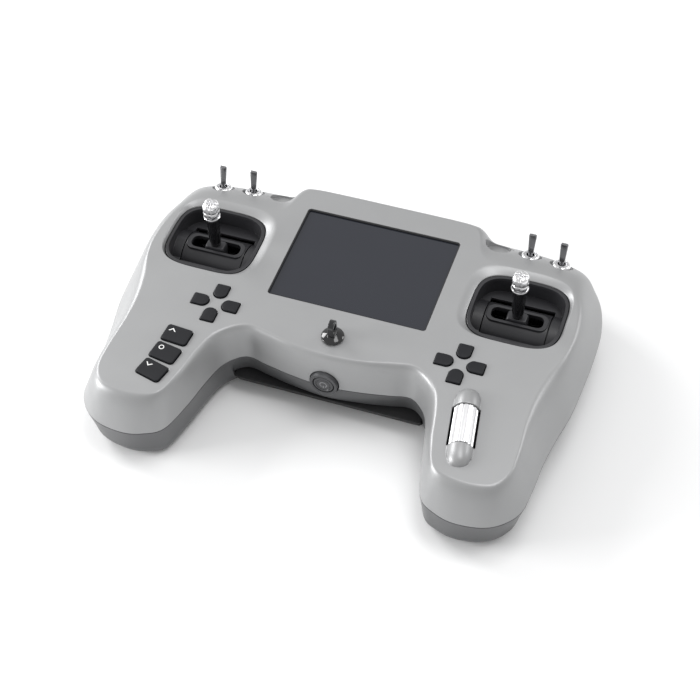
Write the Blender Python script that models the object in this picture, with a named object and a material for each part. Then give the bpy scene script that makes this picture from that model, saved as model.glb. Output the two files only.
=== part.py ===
"""Gamepad-shaped radio transmitter with a built-in display, two stick gimbals, four toggle
switches, two direction pads, three grip keys and a thumb roller.

Lengths are in millimetres and become metres as each mesh is finished. Design coordinates have
their origin on the top face, at the middle of the display window's rear edge: +X is the user's
right, +Y points away from the user and +Z up. The empty frame_origin carries every piece to the
model's own origin, which is the centre of the bounding box's bottom.
"""

import math

import bmesh
import bpy
from mathutils import Matrix, Vector

MM = 0.001
FIT = 0.35  # clearance between neighbouring pieces

# Case
WALL = 2.4
PARTING_Z = -20.0
PARTING_GAP = 0.3
FLOOR_Z = -40.5
FOOT_BOTTOM_Z = -41.8
REAR_Y, FRONT_Y = 20.0125, -153.5
CASE_SUBDIVISIONS = 2
OUTER_STEPS, INNER_STEPS = 5, 3

# Belly cover
BELLY_HALF = 50.1
BELLY_TOP_Z = -30.4
BELLY_FRONT_Y, BELLY_REAR_Y = -96.3, 18.3
FOOT_ROWS = (-78.0, -4.0)

# Display
WINDOW = (84.0, 62.8)
WINDOW_CENTRE = (0.0, -31.4)

# Gimbals
GIMBAL = (81.9, -35.0)
GIMBAL_HALF = (24.5, 22.0)
GIMBAL_POWER = 3.6
GIMBAL_AXIS_Z = -20.5
DRUM_R = 14.0
DRUM_HALF = 16.4
STUB_HALF = 19.5
BEZEL_FLOOR_Z = -11.0
PANEL_START = DRUM_HALF + 0.5
STICK_TOP = 45.9  # above the gimbal axes

# Direction pads and grip keys
PAD = (64.2, -77.4)
PAD_REACH = 12.3
PAD_INNER = 3.7
PAD_WIDTH = 6.9
KEY_SIZE = (13.6, 9.9)
KEYS = (
    ("up_key", (-74.3, -103.0), -4.0),
    ("scan_key", (-75.4, -115.1), -9.0),
    ("down_key", (-77.2, -127.0), -14.0),
)

# Roller
ROLLER = (76.6, -113.3)
ROLLER_TURN = 9.0
ROLLER_R = 5.9
ROLLER_HALF = 11.0
ROLLER_Z = -1.6

# Toggle switches
TOGGLES = (
    ("toggle_far_left", (-94.3, 5.3, -8.6)),
    ("toggle_near_left", (-77.3, 7.0, -8.9)),
    ("toggle_near_right", (77.3, 7.0, -8.9)),
    ("toggle_far_right", (94.3, 5.3, -8.6)),
)
TOGGLE_TILT = -12.0
TOGGLE_POCKET_R = 6.2
LEVER_PIVOT_Z = 2.2

# Power button, strap hook, blank recesses, screws
POWER = (0.0, -96.6, -17.6)
POWER_R = 7.4
HOOK = (-0.3, -80.3)
RECESS = (60.0, 7.4, -7.6)
RECESS_R = 7.0
RECESS_TILT = -26.0
CASE_SCREWS = (
    ("case_screw_rear_left", (-106.0, -10.0)),
    ("case_screw_rear_right", (106.0, -10.0)),
    ("case_screw_front_left", (-97.0, -128.0)),
    ("case_screw_front_right", (97.0, -128.0)),
)
BELLY_SCREW = (0.0, 7.6)

# How the skin curves from the top edge down to the widest outline, as the three fractions that
# place a cubic's two inner handles: reach of the first, pull-back and rise of the second.
HOOD = (0.45, 0.10, 0.75)
SHOULDER = (0.44, 0.00, 0.45)
SIDE = (0.30, 0.45, 0.55)
TIP = (0.35, 0.35, 0.55)
NOTCH = (0.50, 0.35, 0.80)

# Right half of the case, clockwise from the middle of the rear to the middle of the front:
# edge of the flat top, widest outline, how far the underside is drawn in, skin profile.
CASE_POINTS = (
    ((0.0, 13.5), (0.0, 20.0), 6.0, HOOD),
    ((25.0, 13.5), (26.0, 20.0), 6.0, HOOD),
    ((43.0, 12.8), (44.0, 19.8), 6.0, HOOD),
    ((49.0, 9.0), (51.0, 19.5), 6.0, HOOD),
    ((53.5, -4.0), (56.5, 19.0), 6.0, SHOULDER),
    ((60.0, -8.5), (63.0, 18.8), 6.0, SHOULDER),
    ((76.0, -9.0), (80.0, 18.0), 6.0, SHOULDER),
    ((92.0, -10.0), (97.0, 15.5), 7.0, SHOULDER),
    ((102.0, -13.0), (110.0, 9.0), 9.0, SHOULDER),
    ((108.0, -21.0), (118.5, -3.0), 11.0, SIDE),
    ((111.0, -32.0), (123.0, -20.0), 12.0, SIDE),
    ((112.0, -46.0), (123.5, -40.0), 12.0, SIDE),
    ((110.0, -58.0), (122.5, -58.0), 12.0, SIDE),
    ((106.0, -70.0), (121.0, -76.0), 12.0, SIDE),
    ((103.5, -84.0), (117.8, -93.0), 12.0, SIDE),
    ((103.0, -100.0), (115.5, -108.0), 12.0, SIDE),
    ((104.0, -118.0), (114.5, -124.0), 11.0, SIDE),
    ((103.5, -131.0), (112.5, -138.0), 10.0, SIDE),
    ((99.0, -139.0), (106.0, -147.0), 8.5, TIP),
    ((91.0, -142.0), (97.0, -152.0), 7.5, TIP),
    ((81.0, -142.0), (84.0, -153.5), 6.5, TIP),
    ((72.0, -139.5), (74.0, -151.0), 5.5, TIP),
    ((67.5, -134.0), (65.5, -145.0), 4.5, TIP),
    ((65.0, -122.0), (60.5, -129.0), 4.5, NOTCH),
    ((62.5, -108.0), (57.5, -114.0), 4.5, NOTCH),
    ((59.0, -96.5), (54.0, -101.0), 4.5, NOTCH),
    ((52.0, -88.5), (49.0, -94.0), 5.0, NOTCH),
    ((43.0, -84.5), (42.5, -90.3), 5.0, NOTCH),
    ((33.0, -86.0), (32.0, -92.3), 5.0, NOTCH),
    ((18.0, -89.7), (18.0, -94.8), 5.0, NOTCH),
    ((0.0, -91.0), (0.0, -96.5), 5.0, NOTCH),
)

# Name: colour, roughness, metallic.
FINISHES = {
    "shell_grey": ((0.41, 0.42, 0.42), 0.45, 0.0),
    "shell_dark": ((0.15, 0.155, 0.16), 0.5, 0.0),
    "cover_black": ((0.02, 0.02, 0.022), 0.5, 0.0),
    "glass_dark": ((0.05, 0.055, 0.065), 0.12, 0.0),
    "bezel_black": ((0.02, 0.02, 0.022), 0.4, 0.0),
    "key_black": ((0.045, 0.045, 0.05), 0.5, 0.0),
    "chrome": ((0.8, 0.8, 0.8), 0.12, 1.0),
    "lever_steel": ((0.3, 0.3, 0.3), 0.25, 1.0),
    "roller_aluminium": ((0.75, 0.75, 0.76), 0.25, 1.0),
    "gloss_black": ((0.01, 0.01, 0.01), 0.1, 0.0),
    "board_green": ((0.02, 0.12, 0.05), 0.5, 0.0),
    "battery_blue": ((0.03, 0.08, 0.25), 0.5, 0.0),
    "sheet_steel": ((0.5, 0.5, 0.5), 0.35, 1.0),
    "rubber": ((0.015, 0.015, 0.015), 0.9, 0.0),
}


# ---- scene, materials and finished objects ----


def clear_scene():
    for obj in list(bpy.data.objects):
        bpy.data.objects.remove(obj)


def make_material(name):
    colour, roughness, metallic = FINISHES[name]
    material = bpy.data.materials.new(name)
    material.use_nodes = True
    shader = material.node_tree.nodes["Principled BSDF"]
    shader.inputs["Base Color"].default_value = (*colour, 1.0)
    shader.inputs["Roughness"].default_value = roughness
    shader.inputs["Metallic"].default_value = metallic
    material.diffuse_color = (*colour, 1.0)
    return material


def add_origin():
    empty = bpy.data.objects.new("frame_origin", None)
    empty.location = (0.0, -(REAR_Y + FRONT_Y) / 2 * MM, -FOOT_BOTTOM_Z * MM)
    bpy.context.scene.collection.objects.link(empty)
    return empty


def finish(name, bm, material, place=Matrix()):
    """An object from a mesh drawn in its own frame, which `place` sets in design coordinates."""
    bmesh.ops.recalc_face_normals(bm, faces=bm.faces)
    bmesh.ops.scale(bm, vec=(MM, MM, MM), verts=bm.verts)
    mesh = bpy.data.meshes.new(name)
    bm.to_mesh(mesh)
    bm.free()
    mesh.shade_smooth()
    mesh.set_sharp_from_angle(angle=math.radians(35))
    obj = bpy.data.objects.new(name, mesh)
    bpy.context.scene.collection.objects.link(obj)
    obj.parent = ORIGIN
    obj.location = place.to_translation() * MM
    obj.rotation_euler = place.to_euler()
    if material:
        mesh.materials.append(MATERIALS[material])
    return obj


def helper(name, bm, place=Matrix()):
    """A cutter or a lump for a Boolean: it is left out of the render and of the nodes."""
    obj = finish(name, bm, None, place)
    obj.hide_render = True
    obj.display_type = "WIRE"
    return obj


def boolean(obj, other, operation):
    modifier = obj.modifiers.new(f"{operation.lower()}_{other.name}"[:60], "BOOLEAN")
    modifier.operation = operation
    modifier.solver = "EXACT"
    modifier.object = other


# ---- outlines ----


def circle(radius, count=16, centre=(0.0, 0.0)):
    turns = [2 * math.pi * i / count for i in range(count)]
    return [(centre[0] + radius * math.cos(t), centre[1] + radius * math.sin(t)) for t in turns]


def superellipse(half, power, count=28, centre=(0.0, 0.0)):
    points = []
    for i in range(count):
        turn = 2 * math.pi * i / count
        cosine, sine = math.cos(turn), math.sin(turn)
        x = half[0] * math.copysign(abs(cosine) ** (2 / power), cosine)
        y = half[1] * math.copysign(abs(sine) ** (2 / power), sine)
        points.append((centre[0] + x, centre[1] + y))
    return points


def rounded_rectangle(width, height, radius, centre=(0.0, 0.0), steps=2):
    points = []
    corners = ((1, 1), (-1, 1), (-1, -1), (1, -1))
    for quarter, (sx, sy) in enumerate(corners):
        for i in range(steps + 1):
            turn = math.pi / 2 * (quarter + i / steps)
            x = centre[0] + sx * (width / 2 - radius) + radius * math.cos(turn)
            y = centre[1] + sy * (height / 2 - radius) + radius * math.sin(turn)
            points.append((x, y))
    return points


def pad_outline(grow=0.0):
    """One direction-pad button pointing along +X: flat outer end, round inner end."""
    outer = PAD_REACH + grow
    half = PAD_WIDTH / 2 + grow
    bend_x = PAD_INNER + PAD_WIDTH * 0.45
    depth = bend_x - PAD_INNER + grow
    chamfer = 0.5
    points = [(outer - chamfer, -half), (outer, -half + chamfer)]
    points += [(outer, half - chamfer), (outer - chamfer, half)]
    steps = 6
    for i in range(steps + 1):
        turn = math.pi / 2 + math.pi * i / steps
        points.append((bend_x + depth * math.cos(turn), half * math.sin(turn)))
    return points


# ---- solids in a bmesh ----


def loft(bm, rings, cyclic=False):
    """Closed solid through rings of equal count, with flat ends, or joined end to end."""
    loops = [[bm.verts.new(point) for point in ring] for ring in rings]
    pairs = list(zip(loops, loops[1:]))
    if cyclic:
        pairs.append((loops[-1], loops[0]))
    for low, high in pairs:
        count = len(low)
        for i in range(count):
            j = (i + 1) % count
            bm.faces.new((low[i], low[j], high[j], high[i]))
    if not cyclic:
        bm.faces.new(loops[0][::-1])
        bm.faces.new(loops[-1])


def at_height(outline, z):
    return [(x, y, z) for x, y in outline]


def prism(bm, outline, low, high, place=Matrix()):
    rings = [[place @ Vector(p) for p in at_height(outline, z)] for z in (low, high)]
    loft(bm, rings)


def turned(bm, profile, count=16, place=Matrix(), cyclic=False):
    """Solid of revolution about Z from (radius, height) pairs; cyclic closes a ring's section."""
    rings = []
    for radius, z in profile:
        rings.append([place @ Vector(p) for p in at_height(circle(radius, count), z)])
    loft(bm, rings, cyclic)


def box(bm, low, high, place=Matrix()):
    outline = ((low[0], low[1]), (high[0], low[1]), (high[0], high[1]), (low[0], high[1]))
    prism(bm, outline, low[2], high[2], place)


def screw_hole(bm, centre, head_r, seat_z, top):
    """Hole for a screw from below, with a recess for its head."""
    profile = ((head_r, -50.0), (head_r, seat_z), (1.6, seat_z), (1.6, top))
    turned(bm, profile, 12, moved(*centre))


def moved(x=0.0, y=0.0, z=0.0, tilt=0.0, turn=0.0):
    """Place at a point, turned about Z and then tilted about its own X, in degrees."""
    turned_about_z = Matrix.Rotation(math.radians(turn), 4, "Z")
    return Matrix.Translation((x, y, z)) @ turned_about_z @ Matrix.Rotation(math.radians(tilt), 4, "X")


ALONG_X = Matrix.Rotation(math.radians(90), 4, "Y")
ALONG_Y = Matrix.Rotation(math.radians(-90), 4, "X")


# ---- case ----


def case_outline():
    """Numbers around the whole case: top edge, widest outline, draw-in and profile, smoothed."""
    right = [(*top, *wide, draw, *profile) for top, wide, draw, profile in CASE_POINTS]
    left = [(-p[0], p[1], -p[2], *p[3:]) for p in right[-2:0:-1]]
    points = right + left
    smooth = []
    for i in range(len(points)):
        before, start = points[i - 1], points[i]
        end, after = points[(i + 1) % len(points)], points[(i + 2) % len(points)]
        for step in range(CASE_SUBDIVISIONS):
            t = step / CASE_SUBDIVISIONS
            weights = (
                (-t + 2 * t**2 - t**3) / 2,
                (2 - 5 * t**2 + 3 * t**3) / 2,
                (t + 4 * t**2 - 3 * t**3) / 2,
                (-(t**2) + t**3) / 2,
            )
            row = zip(before, start, end, after)
            smooth.append([sum(w * v for w, v in zip(weights, values)) for values in row])
    return smooth


def pulled_in(points, distances):
    """A clockwise closed outline moved inwards, each point by its own distance."""
    moved_points = []
    for i, (x, y) in enumerate(points):
        along_x = points[(i + 1) % len(points)][0] - points[i - 1][0]
        along_y = points[(i + 1) % len(points)][1] - points[i - 1][1]
        length = math.hypot(along_x, along_y)
        inward = distances[i] / length
        moved_points.append((x + along_y * inward, y - along_x * inward))
    return moved_points


def top_rings(outline, inset, z_top, z_low, steps):
    """Rings from the flat top's edge down the rounded skin to the widest outline."""
    spread = [inset] * len(outline)
    edge = pulled_in([(row[0], row[1]) for row in outline], spread)
    wide = pulled_in([(row[2], row[3]) for row in outline], spread)
    rings = []
    for step in range(steps + 1):
        t = step / steps
        a, b, c, d = (1 - t) ** 3, 3 * t * (1 - t) ** 2, 3 * t**2 * (1 - t), t**3
        ring = []
        for (ax, ay), (wx, wy), row in zip(edge, wide, outline):
            reach, back, rise = row[5:8]
            near = a + b * (1 - reach) + c * back
            z = z_top * (a + b) + c * (z_low + (z_top - z_low) * rise) + d * z_low
            ring.append((ax * near + wx * (1 - near), ay * near + wy * (1 - near), z))
        rings.append(ring)
    return rings


def bottom_rings(outline, inset, z_top, z_floor):
    """Rings from the widest outline down the wall and round to the flat underside."""
    wide = pulled_in([(row[2], row[3]) for row in outline], [inset] * len(outline))
    draw = [row[4] for row in outline]
    lean, bend_z, steps = 0.3, -32.5, 3
    rings = [at_height(wide, z_top)]
    for step in range(steps + 1):
        turn = math.pi / 2 * step / steps
        share = lean + (1 - lean) * (1 - math.cos(turn))
        z = bend_z + (z_floor - bend_z) * math.sin(turn)
        rings.append(at_height(pulled_in(wide, [d * share for d in draw]), z))
    return rings


def top_bosses():
    """Lumps left standing in the top shell: switch seats, recess floors and screw posts."""
    bm = bmesh.new()
    for _, (x, y, z) in TOGGLES:
        turned(bm, ((8.0, -2.0), (8.0, 12.0)), 16, moved(x, y, z, TOGGLE_TILT))
    for side in (-1, 1):
        x, y, z = RECESS
        turned(bm, ((8.4, -1.8), (8.4, 12.0)), 16, moved(side * x, y, z, RECESS_TILT))
    for _, (x, y) in CASE_SCREWS:
        prism(bm, circle(3.6, 12, (x, y)), PARTING_Z + PARTING_GAP / 2, 5.0)
    prism(bm, circle(3.6, 12, BELLY_SCREW), BELLY_TOP_Z + FIT + WALL, 5.0)
    return helper("top_bosses", bm)


def roller_fairing():
    """Rounded ridge that the roller lies in."""
    bm = bmesh.new()
    radius, reach, front, rear, bluntness = 6.7, ROLLER_HALF, 12.3, 12.0, 0.7
    quarter = []
    for degrees in (4, 14, 28, 48, 88):
        turn = math.radians(degrees)
        quarter.append((radius * math.sin(turn) ** bluntness, math.cos(turn) ** bluntness))
    profile = [(r, -reach - front * share) for r, share in quarter]
    profile += [(r, reach + rear * share) for r, share in reversed(quarter)]
    place = moved(*ROLLER, ROLLER_Z - 0.7, turn=ROLLER_TURN)
    turned(bm, profile, 16, place @ ALONG_Y)
    return helper("roller_fairing", bm)


def top_openings():
    """Everything cut through the top shell."""
    bm = bmesh.new()
    prism(bm, rounded_rectangle(*WINDOW, 1.2, WINDOW_CENTRE, 2), -6.0, 4.0)
    for side in (-1, 1):
        centre = (side * GIMBAL[0], GIMBAL[1])
        dish = (side * (GIMBAL[0] - 2.0), GIMBAL[1] + 1.9)
        rim = superellipse(GIMBAL_HALF, GIMBAL_POWER, centre=centre)
        outer = superellipse((GIMBAL_HALF[0] + 3.2, GIMBAL_HALF[1] + 2.9), GIMBAL_POWER, centre=dish)
        loft(bm, [at_height(rim, -8.0), at_height(rim, -1.9), at_height(outer, 0.05), at_height(outer, 4.0)])
        for quarter in range(4):
            place = moved(side * PAD[0], PAD[1], turn=90 * quarter)
            prism(bm, pad_outline(FIT), -6.0, 4.0, place)
        x, y, z = RECESS
        turned(bm, ((RECESS_R, 0.0), (RECESS_R, 14.0)), 20, moved(side * x, y, z, RECESS_TILT))
    for _, (x, y), angle in KEYS:
        outline = rounded_rectangle(KEY_SIZE[0] + 2 * FIT, KEY_SIZE[1] + 2 * FIT, 1.9)
        prism(bm, outline, -6.0, 4.0, moved(x, y, turn=angle))
    for _, (x, y, z) in TOGGLES:
        place = moved(x, y, z, TOGGLE_TILT)
        turned(bm, ((3.4, -6.0), (3.4, 0.0), (TOGGLE_POCKET_R, 0.0), (TOGGLE_POCKET_R, 14.0)), 16, place)
    slot = rounded_rectangle(2 * ROLLER_R + 1.8, 2 * ROLLER_HALF + 0.8, 0.5, steps=1)
    prism(bm, slot, -14.0, 12.0, moved(*ROLLER, turn=ROLLER_TURN))
    turned(bm, ((POWER_R + FIT, -8.0), (POWER_R + FIT, 12.0)), 20, moved(*POWER) @ ALONG_Y)
    for _, centre in CASE_SCREWS:
        prism(bm, circle(1.6, 12, centre), -24.0, -10.0)
    prism(bm, circle(1.6, 12, BELLY_SCREW), -32.0, -16.0)
    prism(bm, circle(1.9, 12, HOOK), -8.0, 4.0)
    return helper("top_openings", bm)


def make_top_shell(outline):
    bm = bmesh.new()
    loft(bm, top_rings(outline, 0.0, 0.0, PARTING_Z + PARTING_GAP / 2, OUTER_STEPS))
    shell = finish("top_shell", bm, "shell_grey")
    bm = bmesh.new()
    rings = top_rings(outline, WALL, -WALL, PARTING_Z, INNER_STEPS)
    rings.append([(x, y, PARTING_Z - 15.0) for x, y, _ in rings[-1]])
    loft(bm, rings)
    cavity = helper("top_cavity", bm)
    boolean(cavity, top_bosses(), "DIFFERENCE")
    boolean(shell, roller_fairing(), "UNION")
    boolean(shell, cavity, "DIFFERENCE")
    boolean(shell, top_openings(), "DIFFERENCE")


def make_bottom_shell(outline):
    top = PARTING_Z - PARTING_GAP / 2
    bm = bmesh.new()
    loft(bm, bottom_rings(outline, 0.0, top, FLOOR_Z))
    shell = finish("bottom_shell", bm, "shell_dark")
    bm = bmesh.new()
    loft(bm, bottom_rings(outline, WALL, top + 2.0, FLOOR_Z + WALL))
    cavity = helper("bottom_cavity", bm)
    bm = bmesh.new()
    for side in (-1, 1):
        low, high = sorted((side * 50.9, side * 53.3))
        box(bm, (low, -100.0, -45.0), (high, 25.0, -24.0))
    for _, centre in CASE_SCREWS:
        prism(bm, circle(3.6, 12, centre), -45.0, top)
    boolean(cavity, helper("bottom_ribs", bm), "DIFFERENCE")
    bm = bmesh.new()
    box(bm, (-BELLY_HALF - FIT, -125.0, -50.0), (BELLY_HALF + FIT, 40.0, BELLY_TOP_Z + FIT))
    for _, centre in CASE_SCREWS:
        screw_hole(bm, centre, 2.9, -37.5, -15.0)
    turned(bm, ((POWER_R + FIT, -8.0), (POWER_R + FIT, 12.0)), 20, moved(*POWER) @ ALONG_Y)
    boolean(shell, cavity, "DIFFERENCE")
    boolean(shell, helper("bottom_openings", bm), "DIFFERENCE")


def make_belly_cover():
    """Shallow tray under the middle of the case: the battery's cover."""
    bm = bmesh.new()
    rings = []
    for z, draw in ((BELLY_TOP_Z, 0.0), (-32.6, 1.0), (-38.0, 4.0), (FLOOR_Z, 6.5)):
        low, high = BELLY_FRONT_Y + draw, BELLY_REAR_Y - draw
        size = (2 * BELLY_HALF - draw * 0.2, high - low)
        outline = rounded_rectangle(*size, 2.0, (0.0, (low + high) / 2), 2)
        rings.append(at_height(outline, z))
    loft(bm, rings)
    cover = finish("belly_cover", bm, "cover_black")
    bm = bmesh.new()
    hollow = (BELLY_HALF - WALL, BELLY_FRONT_Y + 9.0, BELLY_REAR_Y - 9.0)
    box(bm, (-hollow[0], hollow[1], FLOOR_Z + WALL), (hollow[0], hollow[2], -20.0))
    boolean(cover, helper("belly_hollow", bm), "DIFFERENCE")
    bm = bmesh.new()
    for y in FOOT_ROWS:
        prism(bm, rounded_rectangle(60.6, 8.6, 2.0, (0.0, y), 2), -45.0, FLOOR_Z + 1.0)
    screw_hole(bm, BELLY_SCREW, 3.1, FLOOR_Z + 1.4, -20.0)
    boolean(cover, helper("belly_openings", bm), "DIFFERENCE")


def make_feet():
    for name, y in zip(("foot_front", "foot_rear"), FOOT_ROWS):
        bm = bmesh.new()
        outline = rounded_rectangle(60.0, 8.0, 1.7, steps=2)
        prism(bm, outline, FOOT_BOTTOM_Z, FLOOR_Z + 0.7)
        finish(name, bm, "rubber", moved(y=y))


def make_screw(name, centre, head_low, head_r, tip):
    bm = bmesh.new()
    neck = head_low + 1.6
    turned(bm, ((head_r, head_low), (head_r, neck), (1.25, neck), (1.25, tip)), 12)
    finish(name, bm, "sheet_steel", moved(*centre))


def make_screws():
    for name, centre in CASE_SCREWS:
        make_screw(name, centre, -39.9, 2.5, -12.0)
    make_screw("belly_screw", BELLY_SCREW, -40.9, 2.7, -18.0)


# ---- display and electronics ----


def make_display():
    bm = bmesh.new()
    prism(bm, rounded_rectangle(WINDOW[0] - 0.7, WINDOW[1] - 0.7, 1.0, steps=2), -2.5, -1.35)
    finish("screen_glass", bm, "glass_dark", moved(*WINDOW_CENTRE))
    bm = bmesh.new()
    box(bm, (-46.0, -33.8, -7.6), (46.0, 33.8, -2.9))
    finish("display_panel", bm, "sheet_steel", moved(*WINDOW_CENTRE))
    bm = bmesh.new()
    box(bm, (-48.0, -34.6, -9.3), (48.0, 34.6, -8.0))
    bracket = finish("display_bracket", bm, "sheet_steel", moved(*WINDOW_CENTRE))
    bm = bmesh.new()
    box(bm, (-36.0, -26.0, -12.0), (36.0, 26.0, -5.0))
    boolean(bracket, helper("bracket_window", bm, moved(*WINDOW_CENTRE)), "DIFFERENCE")


def make_electronics():
    boxes = (
        ("main_board", "board_green", (-47.0, -62.0, -13.8), (47.0, 0.0, -12.2)),
        ("battery_pack", "battery_blue", (-36.0, -70.0, -36.9), (36.0, -31.0, -18.4)),
        ("rf_module", "sheet_steel", (-15.0, -26.0, -20.0), (15.0, -4.0, -14.2)),
    )
    for name, material, low, high in boxes:
        bm = bmesh.new()
        box(bm, low, high)
        finish(name, bm, material)
    bm = bmesh.new()
    pad_end = [(-57.0, -92.0), (-50.0, -86.0), (-50.0, -63.5), (-78.5, -63.5), (-78.5, -92.0)]
    key_end = [(-86.0, -96.0), (-86.0, -136.0), (-70.5, -136.0), (-67.5, -120.0)]
    prism(bm, pad_end + key_end, -8.0, -6.4)
    finish("left_button_board", bm, "board_green")
    bm = bmesh.new()
    prism(bm, [(-x, y) for x, y in pad_end], -8.0, -6.4)
    finish("right_button_board", bm, "board_green")


# ---- gimbals ----


def make_gimbal(side, word):
    x, y = side * GIMBAL[0], GIMBAL[1]
    here = moved(x, y)
    axis = moved(x, y, GIMBAL_AXIS_Z)
    make_bezel(word, here)
    make_gimbal_frame(word, here)
    make_drum(word, axis)
    make_stick(word, axis)


def make_bezel(word, here):
    """Dark cup inside the gimbal window: rim, side panels, front strip and open rear pocket."""
    half = (GIMBAL_HALF[0] - FIT, GIMBAL_HALF[1] - FIT)
    bm = bmesh.new()
    prism(bm, superellipse(half, GIMBAL_POWER), -12.6, -1.7)
    bezel = finish(f"{word}_gimbal_bezel", bm, "bezel_black", here)
    bm = bmesh.new()
    inner = (half[0] - 1.7, half[1] - 1.7)
    prism(bm, superellipse(inner, GIMBAL_POWER), BEZEL_FLOOR_Z, 2.0)
    boolean(bezel, helper(f"{word}_bezel_hollow", bm, here), "DIFFERENCE")
    bm = bmesh.new()
    box(bm, (-PANEL_START, -12.9, -15.0), (PANEL_START, 13.1, -9.0))
    boolean(bezel, helper(f"{word}_bezel_well", bm, here), "DIFFERENCE")
    bm = bmesh.new()
    box(bm, (-17.0, -21.0, -12.0), (17.0, -14.2, -7.5))
    for side in (-1, 1):
        side_panel(bm, side)
    boolean(bezel, helper(f"{word}_bezel_panels", bm, here), "UNION")


def side_panel(bm, side):
    """Fixed panel beside the drum that carries on its round surface."""
    radius, steps, reach = DRUM_R - 0.1, 8, math.radians(52)
    section = []
    for i in range(steps + 1):
        turn = -reach + 2 * reach * i / steps
        section.append((radius * math.sin(turn), GIMBAL_AXIS_Z + radius * math.cos(turn)))
    loft(bm, [[(side * x, y, z) for y, z in section] for x in (PANEL_START, 22.6)])


def make_gimbal_frame(word, here):
    """Cradle under the bezel that carries the drum's two stub shafts."""
    bm = bmesh.new()
    box(bm, (-STUB_HALF - 0.2, -13.0, -37.7), (STUB_HALF + 0.2, 13.0, -13.0))
    frame = finish(f"{word}_gimbal_frame", bm, "bezel_black", here)
    bm = bmesh.new()
    box(bm, (-DRUM_HALF - 0.7, -20.0, -36.2), (DRUM_HALF + 0.7, 20.0, 0.0))
    boolean(frame, helper(f"{word}_frame_hollow", bm, here), "DIFFERENCE")
    bm = bmesh.new()
    place = moved(z=GIMBAL_AXIS_Z) @ ALONG_X
    turned(bm, ((2.35, -30.0), (2.35, 30.0)), 12, place)
    boolean(frame, helper(f"{word}_frame_bores", bm, here), "DIFFERENCE")


def make_drum(word, axis):
    """Slotted drum that pitches about X, with an end disc and a stub shaft on each side."""
    steps, reach = 16, math.radians(100)
    inner_r = DRUM_R - 1.8
    section = []
    for radius, sign in ((DRUM_R, 1), (inner_r, -1)):
        for i in range(steps + 1):
            turn = sign * (-reach + 2 * reach * i / steps)
            section.append((radius * math.sin(turn), radius * math.cos(turn)))
    bm = bmesh.new()
    rings = [[(x, a, b) for a, b in section] for x in (-DRUM_HALF, DRUM_HALF)]
    loft(bm, rings)
    drum = finish(f"{word}_drum", bm, "bezel_black", axis)
    bm = bmesh.new()
    disc = (DRUM_HALF - 1.7, DRUM_HALF - 0.05)
    for side in (-1, 1):
        stub = ((12.9, disc[0]), (12.9, disc[1]), (2.0, disc[1]), (2.0, STUB_HALF))
        turned(bm, [(radius, side * z) for radius, z in stub], 16, ALONG_X)
    prism(bm, rounded_rectangle(31.5, 10.4, 3.0), 12.9, DRUM_R + 0.35)
    boolean(drum, helper(f"{word}_drum_ends", bm, axis), "UNION")
    bm = bmesh.new()
    prism(bm, rounded_rectangle(27.0, 7.6, 3.0), 8.0, 20.0)
    boolean(drum, helper(f"{word}_drum_slot", bm, axis), "DIFFERENCE")


def lobed(radius, depth, count=16):
    """Circle with four hollows, for the stick's grip head."""
    points = []
    for i in range(count):
        turn = 2 * math.pi * i / count
        r = radius * (1 - depth * (0.5 + 0.5 * math.cos(4 * turn)) ** 2)
        points.append((r * math.cos(turn), r * math.sin(turn)))
    return points


def make_stick(word, axis):
    """Stick that yaws about Y in the drum: yoke, post, lock ring and crowned head."""
    bm = bmesh.new()
    levels = ((-3.6, 5.6, 5.6), (7.6, 5.6, 5.6), (8.6, 10.8, 6.6), (14.6, 10.8, 6.6), (15.4, 9.4, 5.6))
    loft(bm, [at_height(rounded_rectangle(w, d, 1.0, steps=1), z) for z, w, d in levels])
    yoke = finish(f"{word}_stick_yoke", bm, "bezel_black", axis)
    bm = bmesh.new()
    turned(bm, ((1.5, -11.7), (1.5, 11.7)), 10, ALONG_Y)
    boolean(yoke, helper(f"{word}_yoke_pin", bm, axis), "UNION")
    bm = bmesh.new()
    post = ((2.8, 15.75), (3.0, 18.0), (3.7, 35.0), (3.3, 35.5), (1.7, 35.5), (1.7, 42.0))
    turned(bm, post, 12)
    finish(f"{word}_stick_post", bm, "gloss_black", axis)
    bm = bmesh.new()
    ring = ((2.05, 35.85), (4.4, 35.85), (4.4, 36.9), (2.05, 36.9))
    turned(bm, ring, 12, cyclic=True)
    finish(f"{word}_stick_ring", bm, "chrome", axis)
    bm = bmesh.new()
    heights = (
        (37.2, 3.9, 0.12), (40.2, 4.3, 0.16), (40.7, 3.9, 0.12), (41.2, 4.3, 0.16),
        (44.8, 4.3, 0.16), (STICK_TOP, 3.2, 0.12),
    )
    loft(bm, [at_height(lobed(radius, depth), z) for z, radius, depth in heights])
    head = finish(f"{word}_stick_head", bm, "chrome", axis)
    bm = bmesh.new()
    turned(bm, ((2.05, 35.0), (2.05, 42.4)), 12)
    boolean(head, helper(f"{word}_head_bore", bm, axis), "DIFFERENCE")


# ---- buttons ----


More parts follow.
